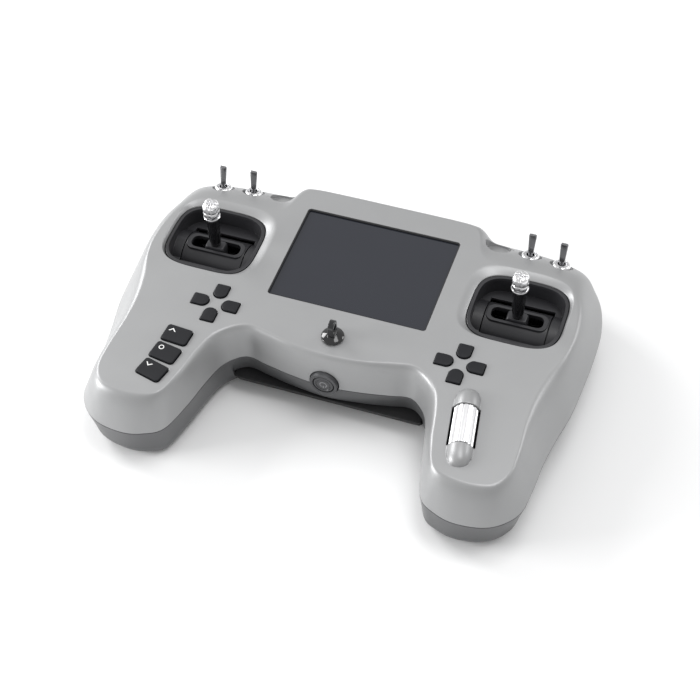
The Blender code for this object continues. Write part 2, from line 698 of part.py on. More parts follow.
def make_pads():
    quarters = ("right", "up", "left", "down")
    for side, word in ((-1, "left"), (1, "right")):
        for quarter, direction in enumerate(quarters):
            bm = bmesh.new()
            edge = [(x * 0.985 + 0.1, y * 0.93) for x, y in pad_outline()]
            loft(bm, [at_height(pad_outline(), -2.9), at_height(pad_outline(), 0.7), at_height(edge, 1.05)])
            place = moved(side * PAD[0], PAD[1], turn=90 * quarter)
            cap = finish(f"{word}_pad_{direction}", bm, "key_black", place)
            bm = bmesh.new()
            middle = (PAD_REACH + PAD_INNER) / 2
            flange = rounded_rectangle(8.8, PAD_WIDTH - 0.5, 1.0, (middle + 0.1, 0.0), 1)
            rim = rounded_rectangle(9.6, PAD_WIDTH + 1.0, 1.0, (middle + 0.1, 0.0), 1)
            loft(bm, [at_height(flange, -4.4), at_height(flange, -3.9), at_height(rim, -3.8), at_height(rim, -2.8)])
            boolean(cap, helper(f"{word}_pad_{direction}_foot", bm, place), "UNION")


def make_keys():
    for name, (x, y), angle in KEYS:
        place = moved(x, y, turn=angle)
        bm = bmesh.new()
        width, height = KEY_SIZE
        levels = ((-3.9, 0.9), (-2.9, 0.9), (-2.75, 0.0), (0.8, 0.0), (1.2, -0.6))
        rings = []
        for z, grow in levels:
            rings.append(at_height(rounded_rectangle(width + grow, height + grow, 1.6), z))
        loft(bm, rings)
        finish(name, bm, "key_black", place)


def make_power_button():
    place = moved(*POWER) @ ALONG_Y
    bm = bmesh.new()
    section = ((5.6, -0.9), (POWER_R, -0.7), (POWER_R, 6.5), (5.6, 6.5))
    turned(bm, section, 20, cyclic=True)
    finish("power_ring", bm, "key_black", place)
    bm = bmesh.new()
    turned(bm, ((4.2, -0.85), (5.2, -0.5), (5.2, 5.0), (3.0, 5.0), (3.0, 7.0)), 16)
    finish("power_button", bm, "key_black", place)


def make_roller():
    """Fluted roller on an axle that lies along the right grip."""
    place = moved(*ROLLER, ROLLER_Z, turn=ROLLER_TURN) @ ALONG_Y
    flutes, per_flute = 14, 2
    bm = bmesh.new()
    outline = []
    for i in range(flutes * per_flute):
        radius = ROLLER_R if i % per_flute == 0 else ROLLER_R - 0.55
        turn = 2 * math.pi * i / (flutes * per_flute)
        outline.append((radius * math.cos(turn), radius * math.sin(turn)))
    bore = circle(1.6, flutes * per_flute)
    rings = [at_height(bore, -ROLLER_HALF), at_height(outline, -ROLLER_HALF)]
    rings += [at_height(outline, ROLLER_HALF), at_height(bore, ROLLER_HALF)]
    loft(bm, rings, cyclic=True)
    finish("roller", bm, "roller_aluminium", place)
    bm = bmesh.new()
    turned(bm, ((1.2, -ROLLER_HALF - 0.3), (1.2, ROLLER_HALF + 0.3)), 12)
    finish("roller_axle", bm, "sheet_steel", place)


def make_strap_hook():
    """Neck-strap eye: domed foot, upright tab with a hole, and a spigot through the case."""
    place = moved(*HOOK)
    bm = bmesh.new()
    turned(bm, ((1.5, -4.6), (1.5, 0.3), (5.8, 0.35), (5.8, 1.2), (4.8, 2.3), (2.0, 2.9)), 16)
    hook = finish("strap_hook", bm, "gloss_black", place)
    bm = bmesh.new()
    half, arch_z = 3.1, 8.5
    tab = [(-half, 1.0), (half, 1.0)]
    tab += [(half * math.cos(math.pi * i / 8), arch_z + half * math.sin(math.pi * i / 8)) for i in range(9)]
    loft(bm, [[(x, y, z) for y, z in tab] for x in (-1.5, 1.5)])
    boolean(hook, helper("hook_tab", bm, place), "UNION")
    bm = bmesh.new()
    eye = rounded_rectangle(2.9, 4.6, 1.4, (0.0, 7.3), 3)
    loft(bm, [[(x, y, z) for y, z in eye] for x in (-4.0, 4.0)])
    boolean(hook, helper("hook_eye", bm, place), "DIFFERENCE")


# ---- toggle switches ----


def make_toggle(name, seat):
    place = moved(*seat, tilt=TOGGLE_TILT)
    bm = bmesh.new()
    box(bm, (-4.0, -7.0, -11.5), (4.0, 2.6, -2.4))
    body = finish(f"{name}_body", bm, "cover_black", place)
    bm = bmesh.new()
    turned(bm, ((2.95, -3.0), (2.95, 3.7)), 16)
    boolean(body, helper(f"{name}_bushing", bm, place), "UNION")
    bm = bmesh.new()
    turned(bm, ((2.1, -1.0), (2.1, 5.5)), 12)
    boolean(body, helper(f"{name}_bore", bm, place), "DIFFERENCE")
    bm = bmesh.new()
    nut = ((3.3, 0.35), (4.9, 0.35), (4.9, 2.7), (4.1, 3.8), (3.3, 3.8))
    turned(bm, nut, 16, cyclic=True)
    finish(f"{name}_nut", bm, "chrome", place)
    bm = bmesh.new()
    # Height above the pivot, width and depth of each section of the lever.
    levels = (
        (-1.4, 1.8, 1.8), (0.0, 3.2, 3.2), (1.5, 2.0, 2.0), (4.0, 3.0, 1.9), (14.2, 4.1, 1.2),
    )
    loft(bm, [at_height(superellipse((w / 2, d / 2), 2.6, 10), z) for z, w, d in levels])
    pivot = place @ Matrix.Translation((0.0, 0.0, LEVER_PIVOT_Z))
    finish(f"{name}_lever", bm, "lever_steel", pivot)


clear_scene()
ORIGIN = add_origin()
MATERIALS = {name: make_material(name) for name in FINISHES}
CASE = case_outline()
make_top_shell(CASE)
make_bottom_shell(CASE)
make_belly_cover()
make_feet()
make_screws()
make_display()
make_electronics()
make_gimbal(-1, "left")
make_gimbal(1, "right")
make_pads()
make_keys()
make_power_button()
make_roller()
make_strap_hook()
for toggle_name, toggle_seat in TOGGLES:
    make_toggle(toggle_name, toggle_seat)
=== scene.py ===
"""Looks of the radio transmitter controller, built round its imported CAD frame.

Shapes are drawn in millimetres in the design coordinates of the CAD part: the origin is on the
top face at the middle of the display window's rear edge, +X is the user's right, +Y points away
from the user and +Z up. Each piece is made and placed by make_piece().
"""

import math

import bmesh
import bpy
from mathutils import Matrix, Vector


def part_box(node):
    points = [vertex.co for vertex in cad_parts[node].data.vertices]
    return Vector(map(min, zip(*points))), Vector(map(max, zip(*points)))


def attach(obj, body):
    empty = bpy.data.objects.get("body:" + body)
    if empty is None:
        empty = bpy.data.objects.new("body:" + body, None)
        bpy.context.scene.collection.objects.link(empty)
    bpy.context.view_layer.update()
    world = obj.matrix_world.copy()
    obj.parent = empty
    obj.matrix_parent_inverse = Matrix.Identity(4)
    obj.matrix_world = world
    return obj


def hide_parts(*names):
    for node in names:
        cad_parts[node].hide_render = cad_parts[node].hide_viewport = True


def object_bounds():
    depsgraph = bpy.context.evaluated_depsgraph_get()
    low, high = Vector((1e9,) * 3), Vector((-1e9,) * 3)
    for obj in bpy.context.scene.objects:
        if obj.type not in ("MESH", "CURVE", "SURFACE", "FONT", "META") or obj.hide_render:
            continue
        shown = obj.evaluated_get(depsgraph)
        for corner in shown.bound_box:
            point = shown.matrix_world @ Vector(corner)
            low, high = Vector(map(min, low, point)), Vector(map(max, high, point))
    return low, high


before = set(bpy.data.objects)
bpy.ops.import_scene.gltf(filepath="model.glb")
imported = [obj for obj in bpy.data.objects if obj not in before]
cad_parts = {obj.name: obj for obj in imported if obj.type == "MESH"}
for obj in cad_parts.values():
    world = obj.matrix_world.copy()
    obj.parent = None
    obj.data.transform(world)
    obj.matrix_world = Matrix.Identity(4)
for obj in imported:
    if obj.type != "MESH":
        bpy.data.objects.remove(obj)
CAD_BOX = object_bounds()

MM = 0.001
FIT = 0.35  # clearance between neighbouring pieces

# Case
WALL = 2.4
PARTING_Z = -20.0
PARTING_GAP = 0.3
FLOOR_Z = -40.5
CASE_SUBDIVISIONS = 6
OUTER_STEPS, INNER_STEPS = 14, 4

# Belly cover
BELLY_HALF = 50.1
BELLY_TOP_Z = -30.4
BELLY_FRONT_Y, BELLY_REAR_Y = -96.3, 18.3
FOOT_ROWS = (-78.0, -4.0)
BELLY_SCREW = (0.0, 7.6)

# Display
WINDOW = (84.0, 62.8)
WINDOW_CENTRE = (0.0, -31.4)
GLASS_DEPTH = 1.35

# Gimbals
GIMBAL = (81.9, -35.0)
GIMBAL_HALF = (24.5, 22.0)
GIMBAL_POWER = 3.6
GIMBAL_AXIS_Z = -20.5
DRUM_R = 14.0
DRUM_HALF = 16.4
STUB_HALF = 19.5
BEZEL_FLOOR_Z = -11.0
PANEL_START = DRUM_HALF + 0.5  # where the fixed panel beside the drum begins
STICK_TOP = 45.9  # above the drum's axis

# Direction pads and grip keys
PAD = (64.2, -77.4)
PAD_REACH = 12.3
PAD_INNER = 3.7
PAD_WIDTH = 6.9
PAD_TOP = 1.05
KEY_SIZE = (13.6, 9.9)
KEY_TOP = 1.2
KEYS = (
    ("up_key", (-74.3, -103.0), -4.0),
    ("scan_key", (-75.4, -115.1), -9.0),
    ("down_key", (-77.2, -127.0), -14.0),
)

# Roller
ROLLER = (76.6, -113.3)
ROLLER_TURN = 9.0
ROLLER_R = 5.9
ROLLER_HALF = 11.0
ROLLER_Z = -1.6

# Toggle switches
TOGGLES = (
    ("toggle_far_left", (-94.3, 5.3, -8.6)),
    ("toggle_near_left", (-77.3, 7.0, -8.9)),
    ("toggle_near_right", (77.3, 7.0, -8.9)),
    ("toggle_far_right", (94.3, 5.3, -8.6)),
)
TOGGLE_TILT = -12.0
TOGGLE_POCKET_R = 6.2
LEVER_PIVOT_Z = 2.2

# Power button, strap hook, blank recesses, screws
POWER = (0.0, -96.6, -17.6)
POWER_R = 7.4
HOOK = (-0.3, -80.3)
RECESS = (60.0, 6.6, -8.2)
RECESS_R = 7.0
RECESS_TILT = -22.0
CASE_SCREWS = (
    ("case_screw_rear_left", (-106.0, -10.0)),
    ("case_screw_rear_right", (106.0, -10.0)),
    ("case_screw_front_left", (-97.0, -128.0)),
    ("case_screw_front_right", (97.0, -128.0)),
)

# How the skin curves from the top edge down to the widest outline, as the three fractions that
# place a cubic's two inner handles: reach of the first, pull-back and rise of the second.
HOOD = (0.45, 0.10, 0.75)
SHOULDER = (0.44, 0.00, 0.45)
SIDE = (0.30, 0.45, 0.55)
TIP = (0.35, 0.35, 0.55)
NOTCH = (0.50, 0.35, 0.80)

# Right half of the case, clockwise from the middle of the rear to the middle of the front:
# edge of the flat top, widest outline, how far the underside is drawn in, skin profile.
CASE_POINTS = (
    ((0.0, 13.5), (0.0, 20.0), 6.0, HOOD),
    ((25.0, 13.5), (26.0, 20.0), 6.0, HOOD),
    ((43.0, 12.8), (44.0, 19.8), 6.0, HOOD),
    ((49.0, 9.0), (51.0, 19.5), 6.0, HOOD),
    ((53.5, -4.0), (56.5, 19.0), 6.0, SHOULDER),
    ((60.0, -8.5), (63.0, 18.8), 6.0, SHOULDER),
    ((76.0, -9.0), (80.0, 18.0), 6.0, SHOULDER),
    ((92.0, -10.0), (97.0, 15.5), 7.0, SHOULDER),
    ((102.0, -13.0), (110.0, 9.0), 9.0, SHOULDER),
    ((108.0, -21.0), (118.5, -3.0), 11.0, SIDE),
    ((111.0, -32.0), (123.0, -20.0), 12.0, SIDE),
    ((112.0, -46.0), (123.5, -40.0), 12.0, SIDE),
    ((110.0, -58.0), (122.5, -58.0), 12.0, SIDE),
    ((106.0, -70.0), (121.0, -76.0), 12.0, SIDE),
    ((103.5, -84.0), (117.8, -93.0), 12.0, SIDE),
    ((103.0, -100.0), (115.5, -108.0), 12.0, SIDE),
    ((104.0, -118.0), (114.5, -124.0), 11.0, SIDE),
    ((103.5, -131.0), (112.5, -138.0), 10.0, SIDE),
    ((99.0, -139.0), (106.0, -147.0), 8.5, TIP),
    ((91.0, -142.0), (97.0, -152.0), 7.5, TIP),
    ((81.0, -142.0), (84.0, -153.5), 6.5, TIP),
    ((72.0, -139.5), (74.0, -151.0), 5.5, TIP),
    ((67.5, -134.0), (65.5, -145.0), 4.5, TIP),
    ((65.0, -122.0), (60.5, -129.0), 4.5, NOTCH),
    ((62.5, -108.0), (57.5, -114.0), 4.5, NOTCH),
    ((59.0, -96.5), (54.0, -101.0), 4.5, NOTCH),
    ((52.0, -88.5), (49.0, -94.0), 5.0, NOTCH),
    ((43.0, -84.5), (42.5, -90.3), 5.0, NOTCH),
    ((33.0, -86.0), (32.0, -92.3), 5.0, NOTCH),
    ((18.0, -89.7), (18.0, -94.8), 5.0, NOTCH),
    ((0.0, -91.0), (0.0, -96.5), 5.0, NOTCH),
)

ALONG_X = Matrix.Rotation(math.radians(90), 4, "Y")
ALONG_Y = Matrix.Rotation(math.radians(-90), 4, "X")


# ---- places ----


def frame_origin():
    """The design origin in the frame, from the display glass that it is measured from."""
    low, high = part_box("screen_glass")
    middle = (low + high) / 2
    return Vector((middle.x, middle.y - WINDOW_CENTRE[1] * MM, high.z + GLASS_DEPTH * MM))


ORIGIN = frame_origin()


def moved(x=0.0, y=0.0, z=0.0, tilt=0.0, turn=0.0):
    """Place at a point, turned about Z and then tilted about its own X, in degrees."""
    turned_about_z = Matrix.Rotation(math.radians(turn), 4, "Z")
    return Matrix.Translation((x, y, z)) @ turned_about_z @ Matrix.Rotation(math.radians(tilt), 4, "X")


def in_frame(place):
    """A place in design millimetres as a matrix in the frame's metres."""
    world = place.copy()
    world.translation = place.to_translation() * MM + ORIGIN
    return world


# ---- outlines ----


def circle(radius, count=48, centre=(0.0, 0.0)):
    turns = [2 * math.pi * i / count for i in range(count)]
    return [(centre[0] + radius * math.cos(t), centre[1] + radius * math.sin(t)) for t in turns]


def superellipse(half, power, count=96, centre=(0.0, 0.0)):
    points = []
    for i in range(count):
        turn = 2 * math.pi * i / count
        cosine, sine = math.cos(turn), math.sin(turn)
        x = half[0] * math.copysign(abs(cosine) ** (2 / power), cosine)
        y = half[1] * math.copysign(abs(sine) ** (2 / power), sine)
        points.append((centre[0] + x, centre[1] + y))
    return points


def rounded_rectangle(width, height, radius, centre=(0.0, 0.0), steps=8):
    points = []
    corners = ((1, 1), (-1, 1), (-1, -1), (1, -1))
    for quarter, (sx, sy) in enumerate(corners):
        for i in range(steps + 1):
            turn = math.pi / 2 * (quarter + i / steps)
            x = centre[0] + sx * (width / 2 - radius) + radius * math.cos(turn)
            y = centre[1] + sy * (height / 2 - radius) + radius * math.sin(turn)
            points.append((x, y))
    return points


def pad_outline(grow=0.0, steps=16):
    """One direction-pad button pointing along +X: flat outer end, round inner end."""
    outer = PAD_REACH + grow
    half = PAD_WIDTH / 2 + grow
    bend_x = PAD_INNER + PAD_WIDTH * 0.45
    depth = bend_x - PAD_INNER + grow
    corner = 0.7
    points = []
    for side in (-1, 1):
        for i in range(5):
            turn = math.pi / 2 * (i / 4 if side > 0 else i / 4 - 1)
            x = outer - corner + corner * math.cos(turn)
            points.append((x, side * (half - corner) + corner * math.sin(turn)))
    for i in range(steps + 1):
        turn = math.pi / 2 + math.pi * i / steps
        points.append((bend_x + depth * math.cos(turn), half * math.sin(turn)))
    return points


# ---- solids in a bmesh ----


def at_height(outline, z):
    return [(x, y, z) for x, y in outline]


def loft(bm, rings, cyclic=False):
    """Closed solid through rings of equal count, with flat ends, or joined end to end."""
    loops = [[bm.verts.new(point) for point in ring] for ring in rings]
    pairs = list(zip(loops, loops[1:]))
    if cyclic:
        pairs.append((loops[-1], loops[0]))
    for low, high in pairs:
        count = len(low)
        for i in range(count):
            j = (i + 1) % count
            bm.faces.new((low[i], low[j], high[j], high[i]))
    if not cyclic:
        bm.faces.new(loops[0][::-1])
        bm.faces.new(loops[-1])
    return bm


def prism(bm, outline, low, high, place=Matrix()):
    rings = [[place @ Vector(p) for p in at_height(outline, z)] for z in (low, high)]
    return loft(bm, rings)


def turned(bm, profile, count=48, place=Matrix(), cyclic=False):
    """Solid of revolution about Z from (radius, height) pairs; cyclic closes a ring's section."""
    rings = []
    for radius, z in profile:
        rings.append([place @ Vector(p) for p in at_height(circle(radius, count), z)])
    return loft(bm, rings, cyclic)


def box(bm, low, high, place=Matrix()):
    outline = ((low[0], low[1]), (high[0], low[1]), (high[0], high[1]), (low[0], high[1]))
    return prism(bm, outline, low[2], high[2], place)


def rounded_levels(low, high, radius, steps=5):
    """(height, inset) pairs up a wall and over a rounded top edge."""
    levels = [(low, 0.0), (high - radius, 0.0)]
    for i in range(1, steps + 1):
        turn = math.pi / 2 * i / steps
        levels.append((high - radius + radius * math.sin(turn), radius * (1 - math.cos(turn))))
    return levels


# ---- finished pieces ----


def mesh_object(name, bm):
    bmesh.ops.recalc_face_normals(bm, faces=bm.faces)
    bmesh.ops.scale(bm, vec=(MM, MM, MM), verts=bm.verts)
    mesh = bpy.data.meshes.new(name)
    bm.to_mesh(mesh)
    bm.free()
    obj = bpy.data.objects.new(name, mesh)
    bpy.context.scene.collection.objects.link(obj)
    return obj


def split_ceilings(mesh):
    """Triangles in place of wide faces that look down, which could fold over when their edges move."""
    bm = bmesh.new()
    bm.from_mesh(mesh)
    wide = [face for face in bm.faces if len(face.verts) > 4 and face.normal.z < -0.5]
    bmesh.ops.triangulate(bm, faces=wide)
    bm.to_mesh(mesh)
    bm.free()


def apply_modifiers(obj):
    bpy.context.view_layer.update()
    graph = bpy.context.evaluated_depsgraph_get()
    mesh = bpy.data.meshes.new_from_object(obj.evaluated_get(graph))
    obj.modifiers.clear()
    obj.data = mesh


def combine(obj, others, operation):
    """Booleans with shapes drawn in the same coordinates, applied one after another."""
    helpers = []
    for index, bm in enumerate(others):
        helper = mesh_object(f"{obj.name}_{operation.lower()}_{index}", bm)
        modifier = obj.modifiers.new(helper.name, "BOOLEAN")
        modifier.operation = operation
        modifier.solver = "EXACT"
        modifier.object = helper
        helpers.append(helper)
    apply_modifiers(obj)
    for helper in helpers:
        bpy.data.objects.remove(helper)


def make_piece(name, bm, look, body, stands_for=(), place=Matrix(), joins=(), cuts=(), bevel=0.0,
               bevel_steps=2, bevel_angle=40.0, sharp=35.0, joins_last=False):
    """A finished piece that rides on a body: Booleans, rounded edges, normals and look."""
    obj = mesh_object(name, bm)
    operations = [(joins, "UNION"), (cuts, "DIFFERENCE")]
    for others, operation in reversed(operations) if joins_last else operations:
        if others:
            combine(obj, others, operation)
    if bevel:
        split_ceilings(obj.data)
        modifier = obj.modifiers.new("rounded_edges", "BEVEL")
        modifier.width = bevel * MM
        modifier.segments = bevel_steps
        modifier.limit_method = "ANGLE"
        modifier.angle_limit = math.radians(bevel_angle)
        modifier.use_clamp_overlap = False
        apply_modifiers(obj)
    obj.data.shade_smooth()
    obj.data.set_sharp_from_angle(angle=math.radians(sharp))
    normals = obj.modifiers.new("face_normals", "WEIGHTED_NORMAL")
    normals.keep_sharp = True
    apply_modifiers(obj)
    obj.data.name = name
    obj.data.materials.clear()
    obj.data.materials.append(LOOKS[look])
    obj.matrix_world = in_frame(place)
    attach(obj, body)
    if stands_for:
        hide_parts(*stands_for)
    return obj


# ---- materials ----


class Graph:
    """Adds and links shader nodes on one material."""

    def __init__(self, name):
        self.material = bpy.data.materials.new(name)
        self.material.use_nodes = True
        self.tree = self.material.node_tree
        self.shader = self.tree.nodes["Principled BSDF"]
        self.coords = self.tree.nodes.new("ShaderNodeTexCoord").outputs["Object"]

    def feed(self, socket, value):
        if isinstance(value, bpy.types.NodeSocket):
            self.tree.links.new(value, socket)
        else:
            socket.default_value = value

    def noise(self, scale, detail=3.0, stretch=(1.0, 1.0, 1.0), roughness=0.5):
        mapping = self.tree.nodes.new("ShaderNodeMapping")
        mapping.inputs["Scale"].default_value = stretch
        self.feed(mapping.inputs["Vector"], self.coords)
        texture = self.tree.nodes.new("ShaderNodeTexNoise")
        self.feed(texture.inputs["Vector"], mapping.outputs["Vector"])
        texture.inputs["Scale"].default_value = scale
        texture.inputs["Detail"].default_value = detail
        texture.inputs["Roughness"].default_value = roughness
        return texture.outputs["Fac"]

    def cells(self, scale, feature="F1", stretch=(1.0, 1.0, 1.0)):
        mapping = self.tree.nodes.new("ShaderNodeMapping")
        mapping.inputs["Scale"].default_value = stretch
        self.feed(mapping.inputs["Vector"], self.coords)
        texture = self.tree.nodes.new("ShaderNodeTexVoronoi")
        texture.feature = feature
        self.feed(texture.inputs["Vector"], mapping.outputs["Vector"])
        texture.inputs["Scale"].default_value = scale
        return texture.outputs["Distance"]

    def spread(self, value, low, high, to_low, to_high):
        """value from low..high to to_low..to_high, clamped."""
        node = self.tree.nodes.new("ShaderNodeMapRange")
        self.feed(node.inputs["Value"], value)
        node.inputs["From Min"].default_value = low
        node.inputs["From Max"].default_value = high
        node.inputs["To Min"].default_value = to_low
        node.inputs["To Max"].default_value = to_high
        return node.outputs["Result"]

    def mix(self, share, first, second):
        node = self.tree.nodes.new("ShaderNodeMix")
        node.data_type = "RGBA"
        self.feed(node.inputs[0], share)
        self.feed(node.inputs[6], first)
        self.feed(node.inputs[7], second)
        return node.outputs[2]

    def add(self, first, second):
        node = self.tree.nodes.new("ShaderNodeMath")
        node.operation = "ADD"
        self.feed(node.inputs[0], first)
        self.feed(node.inputs[1], second)
        return node.outputs[0]

    def worn_edges(self, amount):
        """0 on flat faces, rising to amount on outward edges."""
        geometry = self.tree.nodes.new("ShaderNodeNewGeometry")
        return self.spread(geometry.outputs["Pointiness"], 0.52, 0.62, 0.0, amount)

    def bump(self, height, depth_mm, under=None):
        node = self.tree.nodes.new("ShaderNodeBump")
        node.inputs["Strength"].default_value = 1.0
        node.inputs["Distance"].default_value = depth_mm * MM
        self.feed(node.inputs["Height"], height)
        if under is not None:
            self.feed(node.inputs["Normal"], under)
        return node.outputs["Normal"]


def rgba(colour, gain=1.0):
    return (*[min(1.0, c * gain) for c in colour], 1.0)


def surface(name, colour, roughness, metallic=0.0, vary=0.06, blotch=22.0, grain=1400.0,
            grain_mm=0.012, stretch=(1.0, 1.0, 1.0), rough_vary=0.06, wear=0.25, wear_gain=1.5,
            coat=0.0, specular=0.5, tint=(1.0, 1.0, 1.0)):
    """Solid material: cloudy colour, fine grain in colour, roughness and bump, and worn edges."""
    graph = Graph(name)
    cloud = graph.noise(blotch, 4.0)
    fine = graph.noise(grain, 2.0, stretch)
    darker = rgba(colour, 1.0 - vary)
    lighter = rgba([c * t for c, t in zip(colour, tint)], 1.0 + vary)
    body = graph.mix(graph.spread(cloud, 0.3, 0.7, 0.0, 1.0), darker, lighter)
    speckled = graph.mix(graph.spread(fine, 0.35, 0.65, 0.0, 0.5), body, rgba(colour, 1.0 - 1.5 * vary))
    worn = graph.mix(graph.worn_edges(wear), speckled, rgba(colour, wear_gain))
    graph.feed(graph.shader.inputs["Base Color"], worn)
    smudge = graph.noise(blotch * 3.0, 3.0)
    low, high = roughness - rough_vary, roughness + rough_vary
    rough = graph.spread(graph.add(smudge, fine), 0.6, 1.4, max(0.02, low), high)
    graph.feed(graph.shader.inputs["Roughness"], rough)
    graph.feed(graph.shader.inputs["Normal"], graph.bump(fine, grain_mm))
    graph.shader.inputs["Metallic"].default_value = metallic
    graph.shader.inputs["Specular IOR Level"].default_value = specular
    graph.shader.inputs["Coat Weight"].default_value = coat
    graph.shader.inputs["Coat Roughness"].default_value = 0.05
    return graph.material


def circuit_board():
    """Green solder mask with raised copper tracks and lighter pads."""
    graph = Graph("board_green")
    tracks = graph.spread(graph.cells(420.0, "DISTANCE_TO_EDGE", (1.0, 3.0, 1.0)), 0.02, 0.06, 1.0, 0.0)
    pads = graph.spread(graph.cells(260.0), 0.10, 0.14, 1.0, 0.0)
    mask = graph.mix(graph.noise(60.0), (0.012, 0.09, 0.035, 1.0), (0.02, 0.14, 0.055, 1.0))
    tracked = graph.mix(tracks, mask, (0.03, 0.2, 0.08, 1.0))
    graph.feed(graph.shader.inputs["Base Color"], graph.mix(pads, tracked, (0.55, 0.5, 0.36, 1.0)))
    graph.feed(graph.shader.inputs["Roughness"], graph.spread(graph.noise(200.0), 0.3, 0.7, 0.25, 0.45))
    graph.feed(graph.shader.inputs["Normal"], graph.bump(graph.add(tracks, pads), 0.03))
    return graph.material


def floor_material():
    graph = Graph("studio_floor")
    graph.feed(graph.shader.inputs["Base Color"],
               graph.mix(graph.noise(3.0), (0.92, 0.925, 0.93, 1.0), (0.94, 0.94, 0.94, 1.0)))
    graph.feed(graph.shader.inputs["Roughness"], graph.spread(graph.noise(40.0), 0.3, 0.7, 0.5, 0.6))
    return graph.material


def make_looks():
    return {
        "shell_grey": surface("shell_grey", (0.35, 0.353, 0.357), 0.40, 0.4, vary=0.02, grain=2400.0,
                              grain_mm=0.002, rough_vary=0.04, wear=0.12, wear_gain=1.2),
        "shell_dark": surface("shell_dark", (0.12, 0.122, 0.126), 0.36, 0.35, vary=0.04, grain=2400.0,
                              grain_mm=0.002, rough_vary=0.05, wear=0.2),
        "cover_black": surface("cover_black", (0.012, 0.012, 0.013), 0.6, specular=0.3, vary=0.12,
                               grain=900.0, grain_mm=0.03, wear=0.35, wear_gain=2.5),
        "glass_dark": surface("glass_dark", (0.019, 0.021, 0.029), 0.14, vary=0.03, grain_mm=0.0005,
                              rough_vary=0.03, wear=0.1, coat=0.4),
        "bezel_black": surface("bezel_black", (0.022, 0.022, 0.025), 0.4, vary=0.1, grain_mm=0.012,
                               wear=0.4, wear_gain=2.2),
        "key_black": surface("key_black", (0.011, 0.0115, 0.014), 0.5, specular=0.25, vary=0.08,
                             grain=1100.0, grain_mm=0.02, wear=0.3, wear_gain=1.8),
        "gloss_black": surface("gloss_black", (0.010, 0.010, 0.011), 0.12, vary=0.1, grain_mm=0.001,
                               rough_vary=0.04, wear=0.3, wear_gain=2.0, coat=0.5),
        "chrome": surface("chrome", (0.86, 0.86, 0.87), 0.09, 1.0, vary=0.02, grain_mm=0.0006,
                          rough_vary=0.04, wear=0.2, wear_gain=1.1),
        "lever_steel": surface("lever_steel", (0.34, 0.34, 0.35), 0.2, 1.0, vary=0.08,
                               grain_mm=0.002, stretch=(3.0, 3.0, 0.15), wear=0.3),
        "roller_aluminium": surface("roller_aluminium", (0.84, 0.84, 0.85), 0.34, 0.85, vary=0.03,
                                    grain_mm=0.001, wear=0.3, wear_gain=1.1),
        "sheet_steel": surface("sheet_steel", (0.46, 0.46, 0.47), 0.32, 1.0, vary=0.08,
                               grain_mm=0.003, stretch=(0.1, 4.0, 1.0), wear=0.3),
        "collar_grey": surface("collar_grey", (0.075, 0.076, 0.08), 0.3, 0.3, vary=0.08,
                               grain_mm=0.004, wear=0.4, wear_gain=1.8),
        "mark_grey": surface("mark_grey", (0.27, 0.27, 0.28), 0.45, vary=0.05, grain_mm=0.004,
                             wear=0.1, wear_gain=1.0),
        "nickel": surface("nickel", (0.93, 0.93, 0.94), 0.24, 1.0, vary=0.02, grain_mm=0.001,
                          rough_vary=0.05, wear=0.2, wear_gain=1.05),
        "board_green": circuit_board(),
        "battery_blue": surface("battery_blue", (0.03, 0.08, 0.25), 0.3, vary=0.12, grain=300.0,
                                grain_mm=0.05, wear=0.3),
        "rubber": surface("rubber", (0.018, 0.018, 0.018), 0.85, vary=0.15, grain=700.0,
                          grain_mm=0.05, wear=0.3, wear_gain=2.0),
        "legend_white": surface("legend_white", (0.80, 0.80, 0.79), 0.5, vary=0.04, grain_mm=0.004,
                                wear=0.1, wear_gain=1.0),
    }


LOOKS = make_looks()


# ---- case ----


def case_outline():
    """Numbers around the whole case: top edge, widest outline, draw-in and profile, smoothed."""
    right = [(*top, *wide, draw, *profile) for top, wide, draw, profile in CASE_POINTS]
    left = [(-p[0], p[1], -p[2], *p[3:]) for p in right[-2:0:-1]]
    points = right + left
    smooth = []
    for i in range(len(points)):
        before, start = points[i - 1], points[i]
        end, after = points[(i + 1) % len(points)], points[(i + 2) % len(points)]
        for step in range(CASE_SUBDIVISIONS):
            t = step / CASE_SUBDIVISIONS
            weights = (
                (-t + 2 * t**2 - t**3) / 2,
                (2 - 5 * t**2 + 3 * t**3) / 2,
                (t + 4 * t**2 - 3 * t**3) / 2,
                (-(t**2) + t**3) / 2,
            )
            row = zip(before, start, end, after)
            smooth.append([sum(w * v for w, v in zip(weights, values)) for values in row])
    return smooth


def pulled_in(points, distances):
    """A clockwise closed outline moved inwards, each point by its own distance."""
    moved_points = []
    for i, (x, y) in enumerate(points):
        along_x = points[(i + 1) % len(points)][0] - points[i - 1][0]
        along_y = points[(i + 1) % len(points)][1] - points[i - 1][1]
        inward = distances[i] / math.hypot(along_x, along_y)
        moved_points.append((x + along_y * inward, y - along_x * inward))
    return moved_points


def top_rings(outline, inset, z_top, z_low, steps):
    """Rings from the flat top's edge down the rounded skin to the widest outline."""
    spread = [inset] * len(outline)
    edge = pulled_in([(row[0], row[1]) for row in outline], spread)
    wide = pulled_in([(row[2], row[3]) for row in outline], spread)
    rings = []
    for step in range(steps + 1):
        t = step / steps
        a, b, c, d = (1 - t) ** 3, 3 * t * (1 - t) ** 2, 3 * t**2 * (1 - t), t**3
        ring = []
        for (ax, ay), (wx, wy), row in zip(edge, wide, outline):
            reach, back, rise = row[5:8]
            near = a + b * (1 - reach) + c * back
            z = z_top * (a + b) + c * (z_low + (z_top - z_low) * rise) + d * z_low
            ring.append((ax * near + wx * (1 - near), ay * near + wy * (1 - near), z))
        rings.append(ring)
    return rings


